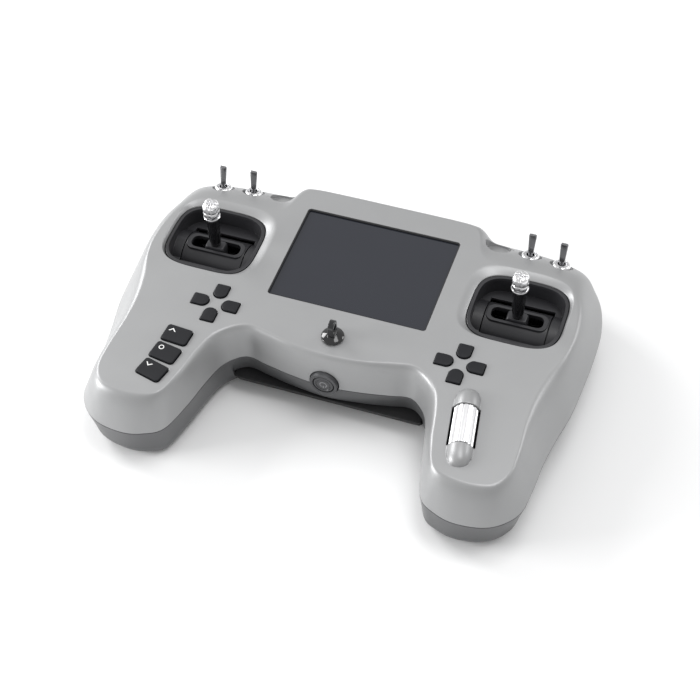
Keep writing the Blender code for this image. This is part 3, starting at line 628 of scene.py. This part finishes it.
def bottom_rings(outline, inset, z_top, z_floor, steps):
    """Rings from the widest outline down the wall and round to the flat underside."""
    wide = pulled_in([(row[2], row[3]) for row in outline], [inset] * len(outline))
    draw = [row[4] for row in outline]
    lean, bend_z = 0.3, -32.5
    rings = [at_height(wide, z_top)]
    for step in range(steps + 1):
        turn = math.pi / 2 * step / steps
        share = lean + (1 - lean) * (1 - math.cos(turn))
        z = bend_z + (z_floor - bend_z) * math.sin(turn)
        rings.append(at_height(pulled_in(wide, [d * share for d in draw]), z))
    return rings


def top_bosses():
    """Lumps left standing in the top shell: switch seats and recess floors."""
    bm = bmesh.new()
    for _, (x, y, z) in TOGGLES:
        turned(bm, ((8.0, -2.0), (8.0, 12.0)), 32, moved(x, y, z, TOGGLE_TILT))
    for side in (-1, 1):
        x, y, z = RECESS
        turned(bm, ((8.4, -1.8), (8.4, 12.0)), 32, moved(side * x, y, z, RECESS_TILT))
    return bm


def roller_fairing():
    """Rounded ridge that the roller lies in."""
    radius, reach, front, rear, bluntness, steps = 6.7, ROLLER_HALF, 12.3, 12.0, 0.7, 20
    quarter = []
    for i in range(steps + 1):
        turn = math.radians(4 + 84 * i / steps)
        quarter.append((radius * math.sin(turn) ** bluntness, math.cos(turn) ** bluntness))
    profile = [(r, -reach - front * share) for r, share in quarter]
    profile += [(r, reach + rear * share) for r, share in reversed(quarter)]
    place = moved(*ROLLER, ROLLER_Z - 0.7, turn=ROLLER_TURN)
    return turned(bmesh.new(), profile, 64, place @ ALONG_Y)


def dish_cutter(bm, side):
    """Soft hollow round a gimbal window, wider at its inboard and rear sides."""
    centre = (side * GIMBAL[0], GIMBAL[1])
    dish = (side * (GIMBAL[0] - 2.0), GIMBAL[1] + 1.9)
    rings = [at_height(superellipse(GIMBAL_HALF, GIMBAL_POWER, centre=centre), -8.0)]
    steps = 8
    for i in range(steps + 1):
        t = i / steps
        middle = [c + (d - c) * t for c, d in zip(centre, dish)]
        half = (GIMBAL_HALF[0] + 3.4 * t, GIMBAL_HALF[1] + 3.1 * t)
        z = -1.9 * (1 - t) ** 1.6
        rings.append(at_height(superellipse(half, GIMBAL_POWER, centre=middle), z))
    rings.append(at_height(superellipse(half, GIMBAL_POWER, centre=dish), 4.0))
    return loft(bm, rings)


def top_openings():
    """Everything cut through the top shell besides its hollow, as one set of separate shapes."""
    bm = bmesh.new()
    prism(bm, rounded_rectangle(*WINDOW, 1.6, WINDOW_CENTRE), -6.0, 4.0)
    for side in (-1, 1):
        dish_cutter(bm, side)
        for quarter in range(4):
            place = moved(side * PAD[0], PAD[1], turn=90 * quarter)
            prism(bm, pad_outline(FIT), -6.0, 4.0, place)
        x, y, z = RECESS
        turned(bm, ((RECESS_R, 0.0), (RECESS_R, 14.0)), 64, moved(side * x, y, z, RECESS_TILT))
    for _, (x, y), angle in KEYS:
        outline = rounded_rectangle(KEY_SIZE[0] + 2 * FIT, KEY_SIZE[1] + 2 * FIT, 1.9)
        prism(bm, outline, -6.0, 4.0, moved(x, y, turn=angle))
    for _, (x, y, z) in TOGGLES:
        place = moved(x, y, z, TOGGLE_TILT)
        pocket = ((3.4, -6.0), (3.4, 0.0), (TOGGLE_POCKET_R, 0.0), (TOGGLE_POCKET_R, 14.0))
        turned(bm, pocket, 64, place)
    slot = rounded_rectangle(2 * ROLLER_R + 1.8, 2 * ROLLER_HALF + 0.8, 0.5, steps=4)
    prism(bm, slot, -14.0, 12.0, moved(*ROLLER, turn=ROLLER_TURN))
    turned(bm, ((POWER_R + FIT, -8.0), (POWER_R + FIT, 12.0)), 64, moved(*POWER) @ ALONG_Y)
    prism(bm, circle(1.9, 24, HOOK), -8.0, 4.0)
    return bm


def make_top_shell(outline):
    skin = loft(bmesh.new(), top_rings(outline, 0.0, 0.0, PARTING_Z + PARTING_GAP / 2, OUTER_STEPS))
    rings = top_rings(outline, WALL, -WALL, PARTING_Z, INNER_STEPS)
    rings.append([(x, y, PARTING_Z - 15.0) for x, y, _ in rings[-1]])
    cavity = mesh_object("top_cavity", loft(bmesh.new(), rings))
    combine(cavity, [top_bosses()], "DIFFERENCE")
    hollow = bmesh.new()
    hollow.from_mesh(cavity.data)
    bmesh.ops.scale(hollow, vec=(1 / MM, 1 / MM, 1 / MM), verts=hollow.verts)
    bpy.data.objects.remove(cavity)
    make_piece("top_shell_skin", skin, "shell_grey", "case", ["top_shell"],
               joins=[roller_fairing()], cuts=[hollow, top_openings()], bevel=0.3)


def make_bottom_shell(outline):
    top = PARTING_Z - PARTING_GAP / 2
    skin = loft(bmesh.new(), bottom_rings(outline, 0.0, top, FLOOR_Z, 8))
    hollow = loft(bmesh.new(), bottom_rings(outline, WALL, top + 2.0, FLOOR_Z + WALL, 3))
    openings = bmesh.new()
    box(openings, (-BELLY_HALF - FIT, -125.0, -50.0), (BELLY_HALF + FIT, 40.0, BELLY_TOP_Z + FIT))
    for _, (x, y) in CASE_SCREWS:
        turned(openings, ((2.9, -50.0), (2.9, -37.5), (1.6, -37.5), (1.6, -30.0)), 32, moved(x, y))
    turned(openings, ((POWER_R + FIT, -8.0), (POWER_R + FIT, 12.0)), 64, moved(*POWER) @ ALONG_Y)
    make_piece("bottom_shell_skin", skin, "shell_dark", "case", ["bottom_shell"],
               cuts=[hollow, openings], bevel=0.4)


def make_belly_cover():
    """Shallow tray under the middle of the case: the battery's cover."""
    rings = []
    for z, draw in ((BELLY_TOP_Z, 0.0), (-32.6, 1.0), (-38.0, 4.0), (FLOOR_Z, 6.5)):
        low, high = BELLY_FRONT_Y + draw, BELLY_REAR_Y - draw
        size = (2 * BELLY_HALF - draw * 0.2, high - low)
        rings.append(at_height(rounded_rectangle(*size, 2.0, (0.0, (low + high) / 2)), z))
    hollow = (BELLY_HALF - WALL, BELLY_FRONT_Y + 9.0, BELLY_REAR_Y - 9.0)
    inside = box(bmesh.new(), (-hollow[0], hollow[1], FLOOR_Z + WALL), (hollow[0], hollow[2], -20.0))
    openings = bmesh.new()
    for y in FOOT_ROWS:
        prism(openings, rounded_rectangle(60.6, 8.6, 2.0, (0.0, y)), -45.0, FLOOR_Z + 1.0)
    screw_seat = ((3.1, -45.0), (3.1, FLOOR_Z + 1.4), (1.6, FLOOR_Z + 1.4), (1.6, -20.0))
    turned(openings, screw_seat, 32, moved(*BELLY_SCREW))
    make_piece("belly_cover_skin", loft(bmesh.new(), rings), "cover_black", "case", ["belly_cover"],
               cuts=[inside, openings], bevel=0.6, bevel_steps=3, bevel_angle=25.0)


def make_feet():
    for name, y in zip(("foot_front", "foot_rear"), FOOT_ROWS):
        low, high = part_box(name)
        bottom, top = [(z - ORIGIN.z) / MM for z in (low.z, high.z)]
        rings = []
        for height, inset in rounded_levels(0.0, top - bottom, 0.5)[::-1]:
            outline = rounded_rectangle(60.0 - 2 * inset, 8.0 - 2 * inset, 1.7 - inset)
            rings.append(at_height(outline, top - height))
        make_piece(f"{name}_pad", loft(bmesh.new(), rings), "rubber", "case", [name], moved(y=y))


def make_screws():
    """Pan heads with a cross recess on plain shanks."""
    rows = [(name, centre, -39.9, 2.5, -12.0) for name, centre in CASE_SCREWS]
    rows.append(("belly_screw", BELLY_SCREW, -40.9, 2.7, -18.0))
    for name, centre, low, radius, tip in rows:
        neck = low + 1.6
        profile = ((radius - 0.6, low), (radius - 0.2, low + 0.15), (radius, low + 0.6), (radius, neck))
        shank = ((1.25, neck), (1.25, tip + 1.0), (0.4, tip))
        cross = bmesh.new()
        arms = [(0.4, 0.4), (0.4, 1.5), (-0.4, 1.5), (-0.4, 0.4), (-1.5, 0.4), (-1.5, -0.4)]
        arms += [(-0.4, -0.4), (-0.4, -1.5), (0.4, -1.5), (0.4, -0.4), (1.5, -0.4), (1.5, 0.4)]
        prism(cross, arms, low - 1.0, low + 0.9)
        make_piece(f"{name}_driven", turned(bmesh.new(), profile + shank, 32), "sheet_steel", "case",
                   [name], moved(*centre), cuts=[cross])


# ---- display ----


def make_display():
    low_edge, high_edge = -2.5, -GLASS_DEPTH
    rings = []
    for z, inset in rounded_levels(low_edge, high_edge, 0.25):
        outline = rounded_rectangle(WINDOW[0] - 0.7 - 2 * inset, WINDOW[1] - 0.7 - 2 * inset, 1.2)
        rings.append(at_height(outline, z))
    make_piece("screen_pane", loft(bmesh.new(), rings), "glass_dark", "case", ["screen_glass"],
               moved(*WINDOW_CENTRE))
    # Black lip round the glass that lines the window's inner wall; its black is painted shade for the dark
    # gap between glass and shell.
    outer = rounded_rectangle(WINDOW[0] - 0.1, WINDOW[1] - 0.1, 1.5)
    inner = rounded_rectangle(WINDOW[0] - 1.3, WINDOW[1] - 1.3, 1.0)
    shade_lip = [at_height(outer, -1.3), at_height(outer, -0.35), at_height(inner, -0.6), at_height(inner, -1.3)]
    make_piece("screen_seal", loft(bmesh.new(), shade_lip, cyclic=True), "cover_black", "case",
               place=moved(*WINDOW_CENTRE))


# ---- gimbals ----


def make_gimbal(side, word):
    here = moved(side * GIMBAL[0], GIMBAL[1])
    axis = moved(side * GIMBAL[0], GIMBAL[1], GIMBAL_AXIS_Z)
    make_bezel(word, here)
    make_drum(word, axis)
    make_stick(word, axis)


def make_bezel(word, here):
    """Dark cup inside the gimbal window: rim, side panels, front strip and open rear pocket."""
    half = (GIMBAL_HALF[0] - FIT, GIMBAL_HALF[1] - FIT)
    rings = []
    for z, inset in rounded_levels(-12.6, -1.6, 0.5, 4):
        rings.append(at_height(superellipse((half[0] - inset, half[1] - inset), GIMBAL_POWER), z))
    inner = ((BEZEL_FLOOR_Z, 2.1), (-3.4, 2.1), (-2.6, 1.9), (2.0, 1.0))
    hollow = bmesh.new()
    loft(hollow, [at_height(superellipse((half[0] - d, half[1] - d), GIMBAL_POWER), z) for z, d in inner])
    well = box(bmesh.new(), (-PANEL_START, -12.9, -15.0), (PANEL_START, 13.1, -9.0))
    inside = box(bmesh.new(), (-17.0, -21.0, -12.0), (17.0, -14.2, -7.5))
    for side in (-1, 1):
        side_panel(inside, side)
    make_piece(f"{word}_gimbal_cup", loft(bmesh.new(), rings), "bezel_black", "case",
               [f"{word}_gimbal_bezel"], here, cuts=[hollow, well], joins=[inside], joins_last=True,
               bevel=0.2)


def side_panel(bm, side):
    """Fixed panel beside the drum that carries on its round surface."""
    radius, steps, reach = DRUM_R - 0.1, 24, math.radians(52)
    section = []
    for i in range(steps + 1):
        turn = -reach + 2 * reach * i / steps
        section.append((radius * math.sin(turn), GIMBAL_AXIS_Z + radius * math.cos(turn)))
    loft(bm, [[(side * x, y, z) for y, z in section] for x in (PANEL_START, 22.6)])


def make_drum(word, axis):
    """Slotted drum that pitches about X, with an end disc and a stub shaft on each side."""
    steps, reach = 48, math.radians(100)
    section = []
    for radius, sign in ((DRUM_R, 1), (DRUM_R - 1.8, -1)):
        for i in range(steps + 1):
            turn = sign * (-reach + 2 * reach * i / steps)
            section.append((radius * math.sin(turn), radius * math.cos(turn)))
    drum = loft(bmesh.new(), [[(x, a, b) for a, b in section] for x in (-DRUM_HALF, DRUM_HALF)])
    ends = bmesh.new()
    disc = (DRUM_HALF - 1.7, DRUM_HALF - 0.05)
    for side in (-1, 1):
        stub = ((12.9, disc[0]), (12.9, disc[1]), (2.0, disc[1]), (2.0, STUB_HALF))
        turned(ends, [(radius, side * z) for radius, z in stub], 32, ALONG_X)
    rim = prism(bmesh.new(), rounded_rectangle(31.5, 10.8, 4.0), 12.9, DRUM_R + 0.35)
    slot = prism(bmesh.new(), rounded_rectangle(27.0, 7.6, 3.0), 8.0, 20.0)
    make_piece(f"{word}_slotted_drum", drum, "bezel_black", f"{word}_gimbal_pitch",
               [f"{word}_drum"], axis, joins=[ends, rim], cuts=[slot], bevel=0.22)


def lobed(radius, depth, count=64):
    """Circle with four hollows, for the stick's grip head."""
    points = []
    for i in range(count):
        turn = 2 * math.pi * i / count
        r = radius * (1 - depth * (0.5 + 0.5 * math.cos(4 * turn)) ** 3)
        points.append((r * math.cos(turn), r * math.sin(turn)))
    return points


def make_stick(word, axis):
    """Stick that yaws about Y in the drum: yoke, post, lock ring and crowned head."""
    body = f"{word}_stick"
    levels = ((-3.6, 5.6, 5.6), (7.6, 5.6, 5.6), (8.6, 10.8, 6.6), (14.2, 10.8, 6.6), (15.4, 9.4, 5.6))
    yoke = bmesh.new()
    loft(yoke, [at_height(rounded_rectangle(w, d, 1.2, steps=5), z) for z, w, d in levels])
    pin = turned(bmesh.new(), ((1.5, -11.7), (1.5, 11.7)), 24, ALONG_Y)
    make_piece(f"{word}_saddle", yoke, "bezel_black", body, [f"{word}_stick_yoke"], axis,
               joins=[pin], bevel=0.35, bevel_steps=3)
    post = [(2.8, 15.75), (2.85, 16.5), (3.0, 18.0), (3.7, 34.6), (3.6, 35.2), (3.3, 35.5)]
    post += [(1.7, 35.55), (1.7, 42.0)]
    make_piece(f"{word}_post", turned(bmesh.new(), post, 40), "gloss_black", body,
               [f"{word}_stick_post"], axis)
    ring = ((2.05, 35.85), (4.2, 35.85), (4.4, 36.05), (4.4, 36.7), (4.2, 36.9), (2.05, 36.9))
    make_piece(f"{word}_lock_ring", turned(bmesh.new(), ring, 48, cyclic=True), "chrome", body,
               [f"{word}_stick_ring"], axis)
    heights = (
        (37.2, 3.7, 0.08), (37.5, 4.1, 0.12), (38.2, 4.3, 0.14), (40.1, 4.3, 0.14), (40.4, 4.1, 0.12),
        (40.6, 3.9, 0.1), (40.8, 4.1, 0.12), (41.1, 4.3, 0.14), (43.6, 4.3, 0.14), (44.8, 4.1, 0.14),
        (45.5, 3.5, 0.12), (STICK_TOP - 0.05, 2.6, 0.1), (STICK_TOP, 1.5, 0.0),
    )
    head = loft(bmesh.new(), [at_height(lobed(radius, depth), z) for z, radius, depth in heights])
    bore = turned(bmesh.new(), ((2.05, 35.0), (2.05, 42.4)), 24)
    cross = turned(bmesh.new(), ((0.7, 43.9), (1.0, 47.0)), 24)
    slots = []
    for turn in (0, 90):
        place = moved(turn=turn)
        outline = ((-0.35, 44.4), (0.35, 44.4), (0.75, 47.0), (-0.75, 47.0))
        slots.append(loft(bmesh.new(), [[place @ Vector((x, y, z)) for x, z in outline] for y in (-6, 6)]))
    make_piece(f"{word}_head", head, "nickel", body, [f"{word}_stick_head"], axis,
               cuts=[bore, cross, *slots], bevel=0.15)


# ---- buttons ----


def make_pads():
    quarters = ("right", "up", "left", "down")
    for side, word in ((-1, "left"), (1, "right")):
        for quarter, direction in enumerate(quarters):
            node = f"{word}_pad_{direction}"
            rings = [at_height(pad_outline(-inset), z)
                     for z, inset in rounded_levels(-2.9, PAD_TOP - 0.12, 0.45)]
            rings.append(at_height(pad_outline(-1.4), PAD_TOP - 0.02))
            rings.append(at_height(pad_outline(-2.4), PAD_TOP))
            middle = (PAD_REACH + PAD_INNER) / 2
            foot = prism(bmesh.new(), rounded_rectangle(9.6, PAD_WIDTH + 1.0, 1.0, (middle + 0.1, 0.0)),
                         -4.4, -2.8)
            make_piece(f"{node}_cap", loft(bmesh.new(), rings), "key_black", f"{node}_body", [node],
                       moved(side * PAD[0], PAD[1], turn=90 * quarter), joins=[foot])


def arrow_mark(sign):
    """Thin chevron pointing up or down the key."""
    return [(0.0, sign * 1.2), (-2.0, -sign * 0.8), (-1.2, -sign * 0.8), (0.0, sign * 0.4),
            (1.2, -sign * 0.8), (2.0, -sign * 0.8)]


def ring_mark(bm, outer, inner, low, high, centre, gap=0.0, steps=40):
    """Flat ring, or an arc with a gap of that many radians at the top."""
    start = math.pi / 2 + gap / 2
    sweep = 2 * math.pi - gap
    rows = []
    for i in range(steps + (1 if gap else 0)):
        turn = start + sweep * i / steps
        x, y = math.cos(turn), math.sin(turn)
        rows.append([(centre[0] + x * r, centre[1] + y * r, z)
                     for r, z in ((outer, low), (outer, high), (inner, high), (inner, low))])
    return loft(bm, rows, cyclic=not gap)


def make_keys():
    width, height = KEY_SIZE
    for (name, (x, y), angle), kind in zip(KEYS, ("up", "ring", "down")):
        place = moved(x, y, turn=angle)
        rings = []
        for z, grow in ((-3.9, 0.9), (-2.9, 0.9), (-2.75, 0.0)):
            rings.append(at_height(rounded_rectangle(width + grow, height + grow, 1.6), z))
        for z, inset in rounded_levels(0.0, KEY_TOP - 0.06, 0.4)[1:]:
            rings.append(at_height(rounded_rectangle(width - 2 * inset, height - 2 * inset, 1.5), z))
        rings.append(at_height(rounded_rectangle(width - 3.4, height - 3.4, 0.8), KEY_TOP))
        make_piece(f"{name}_cap", loft(bmesh.new(), rings), "key_black", f"{name}_body", [name], place)
        make_key_mark(name, kind, place)


def make_key_mark(name, kind, place):
    """Generic raised print near the key's far left corner."""
    low, high = KEY_TOP - 0.05, KEY_TOP + 0.04
    centre = (-3.1, 1.7)
    bm = bmesh.new()
    if kind == "ring":
        ring_mark(bm, 1.4, 0.95, low, high, centre)
    else:
        outline = arrow_mark(1 if kind == "up" else -1)
        prism(bm, [(centre[0] + x, centre[1] + y) for x, y in outline], low, high)
    make_piece(f"{name}_mark", bm, "legend_white", f"{name}_body", place=place)


def make_power_button():
    place = moved(*POWER) @ ALONG_Y
    ring = [(5.6, 6.5), (5.6, -0.5), (5.7, -0.75), (6.0, -0.9), (6.9, -0.88), (7.25, -0.7),
            (POWER_R, -0.4), (POWER_R, 6.5)]
    make_piece("power_collar", turned(bmesh.new(), ring, 64, cyclic=True), "collar_grey", "case",
               ["power_ring"], place)
    cap = [(3.0, 7.0), (3.0, 5.0), (5.2, 5.0), (5.2, -0.3), (5.05, -0.6), (4.7, -0.75), (4.2, -0.7),
           (4.0, -0.4), (3.6, -0.35), (3.3, -0.6), (0.6, -0.65)]
    make_piece("power_cap", turned(bmesh.new(), cap, 64), "collar_grey", "power_button_body",
               ["power_button"], place)
    bm = bmesh.new()
    ring_mark(bm, 2.0, 1.5, -0.72, -0.5, (0.0, 0.0), gap=1.1)
    box(bm, (-0.25, 0.6, -0.72), (0.25, 2.4, -0.5))
    make_piece("power_mark", bm, "mark_grey", "power_button_body", place=place)


def make_roller():
    """Fluted roller on an axle that lies along the right grip."""
    place = moved(*ROLLER, ROLLER_Z, turn=ROLLER_TURN) @ ALONG_Y
    flutes, per_flute = 14, 8

    def section(shrink):
        points = []
        for i in range(flutes * per_flute):
            phase = i % per_flute / per_flute
            groove = 0.5 * max(0.0, math.cos(2 * math.pi * phase)) ** 2
            turn = 2 * math.pi * i / (flutes * per_flute)
            radius = ROLLER_R - shrink - groove
            points.append((radius * math.cos(turn), radius * math.sin(turn)))
        return points

    bore = circle(1.6, flutes * per_flute)
    rings = [at_height(bore, -ROLLER_HALF), at_height(section(0.5), -ROLLER_HALF)]
    rings += [at_height(section(0.15), -ROLLER_HALF + 0.15), at_height(section(0.0), -ROLLER_HALF + 0.5)]
    rings += [at_height(section(0.0), ROLLER_HALF - 0.5), at_height(section(0.15), ROLLER_HALF - 0.15)]
    rings += [at_height(section(0.5), ROLLER_HALF), at_height(bore, ROLLER_HALF)]
    make_piece("fluted_roller", loft(bmesh.new(), rings, cyclic=True), "roller_aluminium",
               "roller_body", ["roller"], place)


def make_strap_hook():
    """Neck-strap eye: domed foot, upright tab with a hole, and a spigot through the case."""
    foot = [(1.5, -4.6), (1.5, 0.3), (5.5, 0.32), (5.8, 0.5), (5.8, 1.2), (5.6, 1.5), (4.9, 1.9)]
    foot += [(4.0, 2.3), (3.0, 2.7), (2.0, 2.9)]
    half, arch_z, steps = 3.1, 8.5, 24
    tab = [(-half, 1.0), (half, 1.0)]
    for i in range(steps + 1):
        turn = math.pi * i / steps
        tab.append((half * math.cos(turn), arch_z + half * math.sin(turn)))
    plate = loft(bmesh.new(), [[(x, y, z) for y, z in tab] for x in (-1.5, 1.5)])
    eye = rounded_rectangle(2.9, 4.6, 1.4, (0.0, 7.3))
    hole = loft(bmesh.new(), [[(x, y, z) for y, z in eye] for x in (-4.0, 4.0)])
    make_piece("strap_eye", turned(bmesh.new(), foot, 48), "gloss_black", "case", ["strap_hook"],
               moved(*HOOK), joins=[plate], cuts=[hole], bevel=0.45, bevel_steps=4)


# ---- toggle switches ----


def make_toggle(name, seat):
    place = moved(*seat, tilt=TOGGLE_TILT)
    body = box(bmesh.new(), (-4.0, -7.0, -11.5), (4.0, 2.6, -3.0))
    make_piece(f"{name}_switch", body, "cover_black", "case", [f"{name}_body"], place, bevel=0.3)
    thread, pitch, crests = [(2.15, -3.0), (2.95, -3.0), (2.95, 0.0)], 0.5, 6
    for i in range(crests):
        thread += [(2.7, 0.1 + pitch * i), (2.95, 0.1 + pitch * (i + 0.5))]
    thread += [(2.7, 3.4), (2.5, 3.65), (2.15, 3.65)]
    make_piece(f"{name}_bushing", turned(bmesh.new(), thread, 40, cyclic=True), "chrome", "case",
               place=place)
    nut = [(3.05, 0.35), (4.7, 0.35), (4.9, 0.6), (4.9, 1.9), (4.8, 2.6), (4.5, 3.2), (4.05, 3.6)]
    nut += [(3.5, 3.8), (3.05, 3.8)]
    slots = bmesh.new()
    box(slots, (-0.75, -6.0, 1.6), (0.75, 6.0, 5.0))
    make_piece(f"{name}_dress_nut", turned(bmesh.new(), nut, 64, cyclic=True), "nickel", "case",
               [f"{name}_nut"], place, cuts=[slots], bevel=0.12)
    # Height above the pivot, width and depth of each section of the lever.
    levels = (
        (-1.4, 1.8, 1.8), (-0.8, 2.8, 2.8), (0.0, 3.2, 3.2), (0.8, 2.8, 2.8), (1.5, 2.1, 2.1),
        (2.4, 2.6, 1.9), (4.0, 3.0, 1.9), (8.5, 3.5, 1.7), (13.4, 4.1, 1.4), (14.0, 3.95, 1.2),
        (14.2, 3.5, 0.9),
    )
    lever = loft(bmesh.new(), [at_height(superellipse((w / 2, d / 2), 3.2, 40), z) for z, w, d in levels])
    pivot = place @ Matrix.Translation((0.0, 0.0, LEVER_PIVOT_Z))
    make_piece(f"{name}_bat", lever, "lever_steel", f"{name}_lever_body", [f"{name}_lever"], pivot)


# ---- inner pieces that keep their CAD shape ----


INNER_LOOKS = {
    "display_panel": "sheet_steel",
    "display_bracket": "sheet_steel",
    "main_board": "board_green",
    "left_button_board": "board_green",
    "right_button_board": "board_green",
    "rf_module": "sheet_steel",
    "battery_pack": "battery_blue",
    "roller_axle": "sheet_steel",
    "left_gimbal_frame": "bezel_black",
    "right_gimbal_frame": "bezel_black",
}


def dress_inner_pieces():
    for node, look in INNER_LOOKS.items():
        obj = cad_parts[node]
        obj.data.materials.clear()
        obj.data.materials.append(LOOKS[look])


# ---- studio ----


def make_floor():
    bm = bmesh.new()
    size, steps = 3000.0, 24
    bmesh.ops.create_grid(bm, x_segments=steps, y_segments=steps, size=size)
    floor = mesh_object("studio_floor", bm)
    floor.location.z = CAD_BOX[0].z
    floor.data.materials.append(floor_material())


def add_area(name, size, location, target, power, colour=(1.0, 1.0, 1.0)):
    data = bpy.data.lights.new(name, "AREA")
    data.shape = "RECTANGLE"
    data.size, data.size_y = size
    data.energy = power
    data.color = colour
    light = bpy.data.objects.new(name, data)
    light.location = location
    light.rotation_mode = "QUATERNION"
    light.rotation_quaternion = (Vector(target) - Vector(location)).to_track_quat("-Z", "Y")
    bpy.context.scene.collection.objects.link(light)


def make_lights():
    middle = (0.0, 0.0, 0.02)
    add_area("overhead_softbox", (0.9, 0.5), (0.25, 0.2, 1.35), middle, 6.0)
    add_area("left_softbox", (0.6, 0.4), (-1.15, -0.45, 0.4), middle, 11.0)
    add_area("rear_left_softbox", (0.6, 0.6), (-1.2, 0.5, 0.75), middle, 11.0)
    add_area("rear_right_softbox", (0.6, 0.6), (1.2, 1.0, 0.8), middle, 5.0)
    world = bpy.data.worlds.new("studio_air")
    world.use_nodes = True
    background = world.node_tree.nodes["Background"]
    background.inputs["Color"].default_value = (1.0, 1.0, 1.0, 1.0)
    background.inputs["Strength"].default_value = 0.6
    bpy.context.scene.world = world
    bpy.context.scene.view_settings.view_transform = "Standard"


def make_camera():
    """Long lens from the front right, looking down on the top face."""
    azimuth, elevation, roll = math.radians(21.076), math.radians(50.797), math.radians(-2.52)
    back = Vector((math.sin(azimuth) * math.cos(elevation), -math.cos(azimuth) * math.cos(elevation),
                   math.sin(elevation)))
    level = Vector((math.cos(azimuth), math.sin(azimuth), 0.0))
    up = level.cross(-back)
    right = level * math.cos(roll) + up * math.sin(roll)
    up = up * math.cos(roll) - level * math.sin(roll)
    data = bpy.data.cameras.new("camera")
    data.sensor_width = 36.0
    data.lens = 77.143
    data.clip_start, data.clip_end = 0.05, 50.0
    camera = bpy.data.objects.new("camera", data)
    turn = Matrix((right, up, back)).transposed().to_4x4()
    camera.matrix_world = Matrix.Translation(ORIGIN + Vector((177.66, -519.17, 569.87)) * MM) @ turn
    bpy.context.scene.collection.objects.link(camera)
    bpy.context.scene.camera = camera


CASE = case_outline()
make_top_shell(CASE)
make_bottom_shell(CASE)
make_belly_cover()
make_feet()
make_screws()
make_display()
make_gimbal(-1, "left")
make_gimbal(1, "right")
make_pads()
make_keys()
make_power_button()
make_roller()
make_strap_hook()
for toggle_name, toggle_seat in TOGGLES:
    make_toggle(toggle_name, toggle_seat)
dress_inner_pieces()
make_floor()
make_lights()
make_camera()
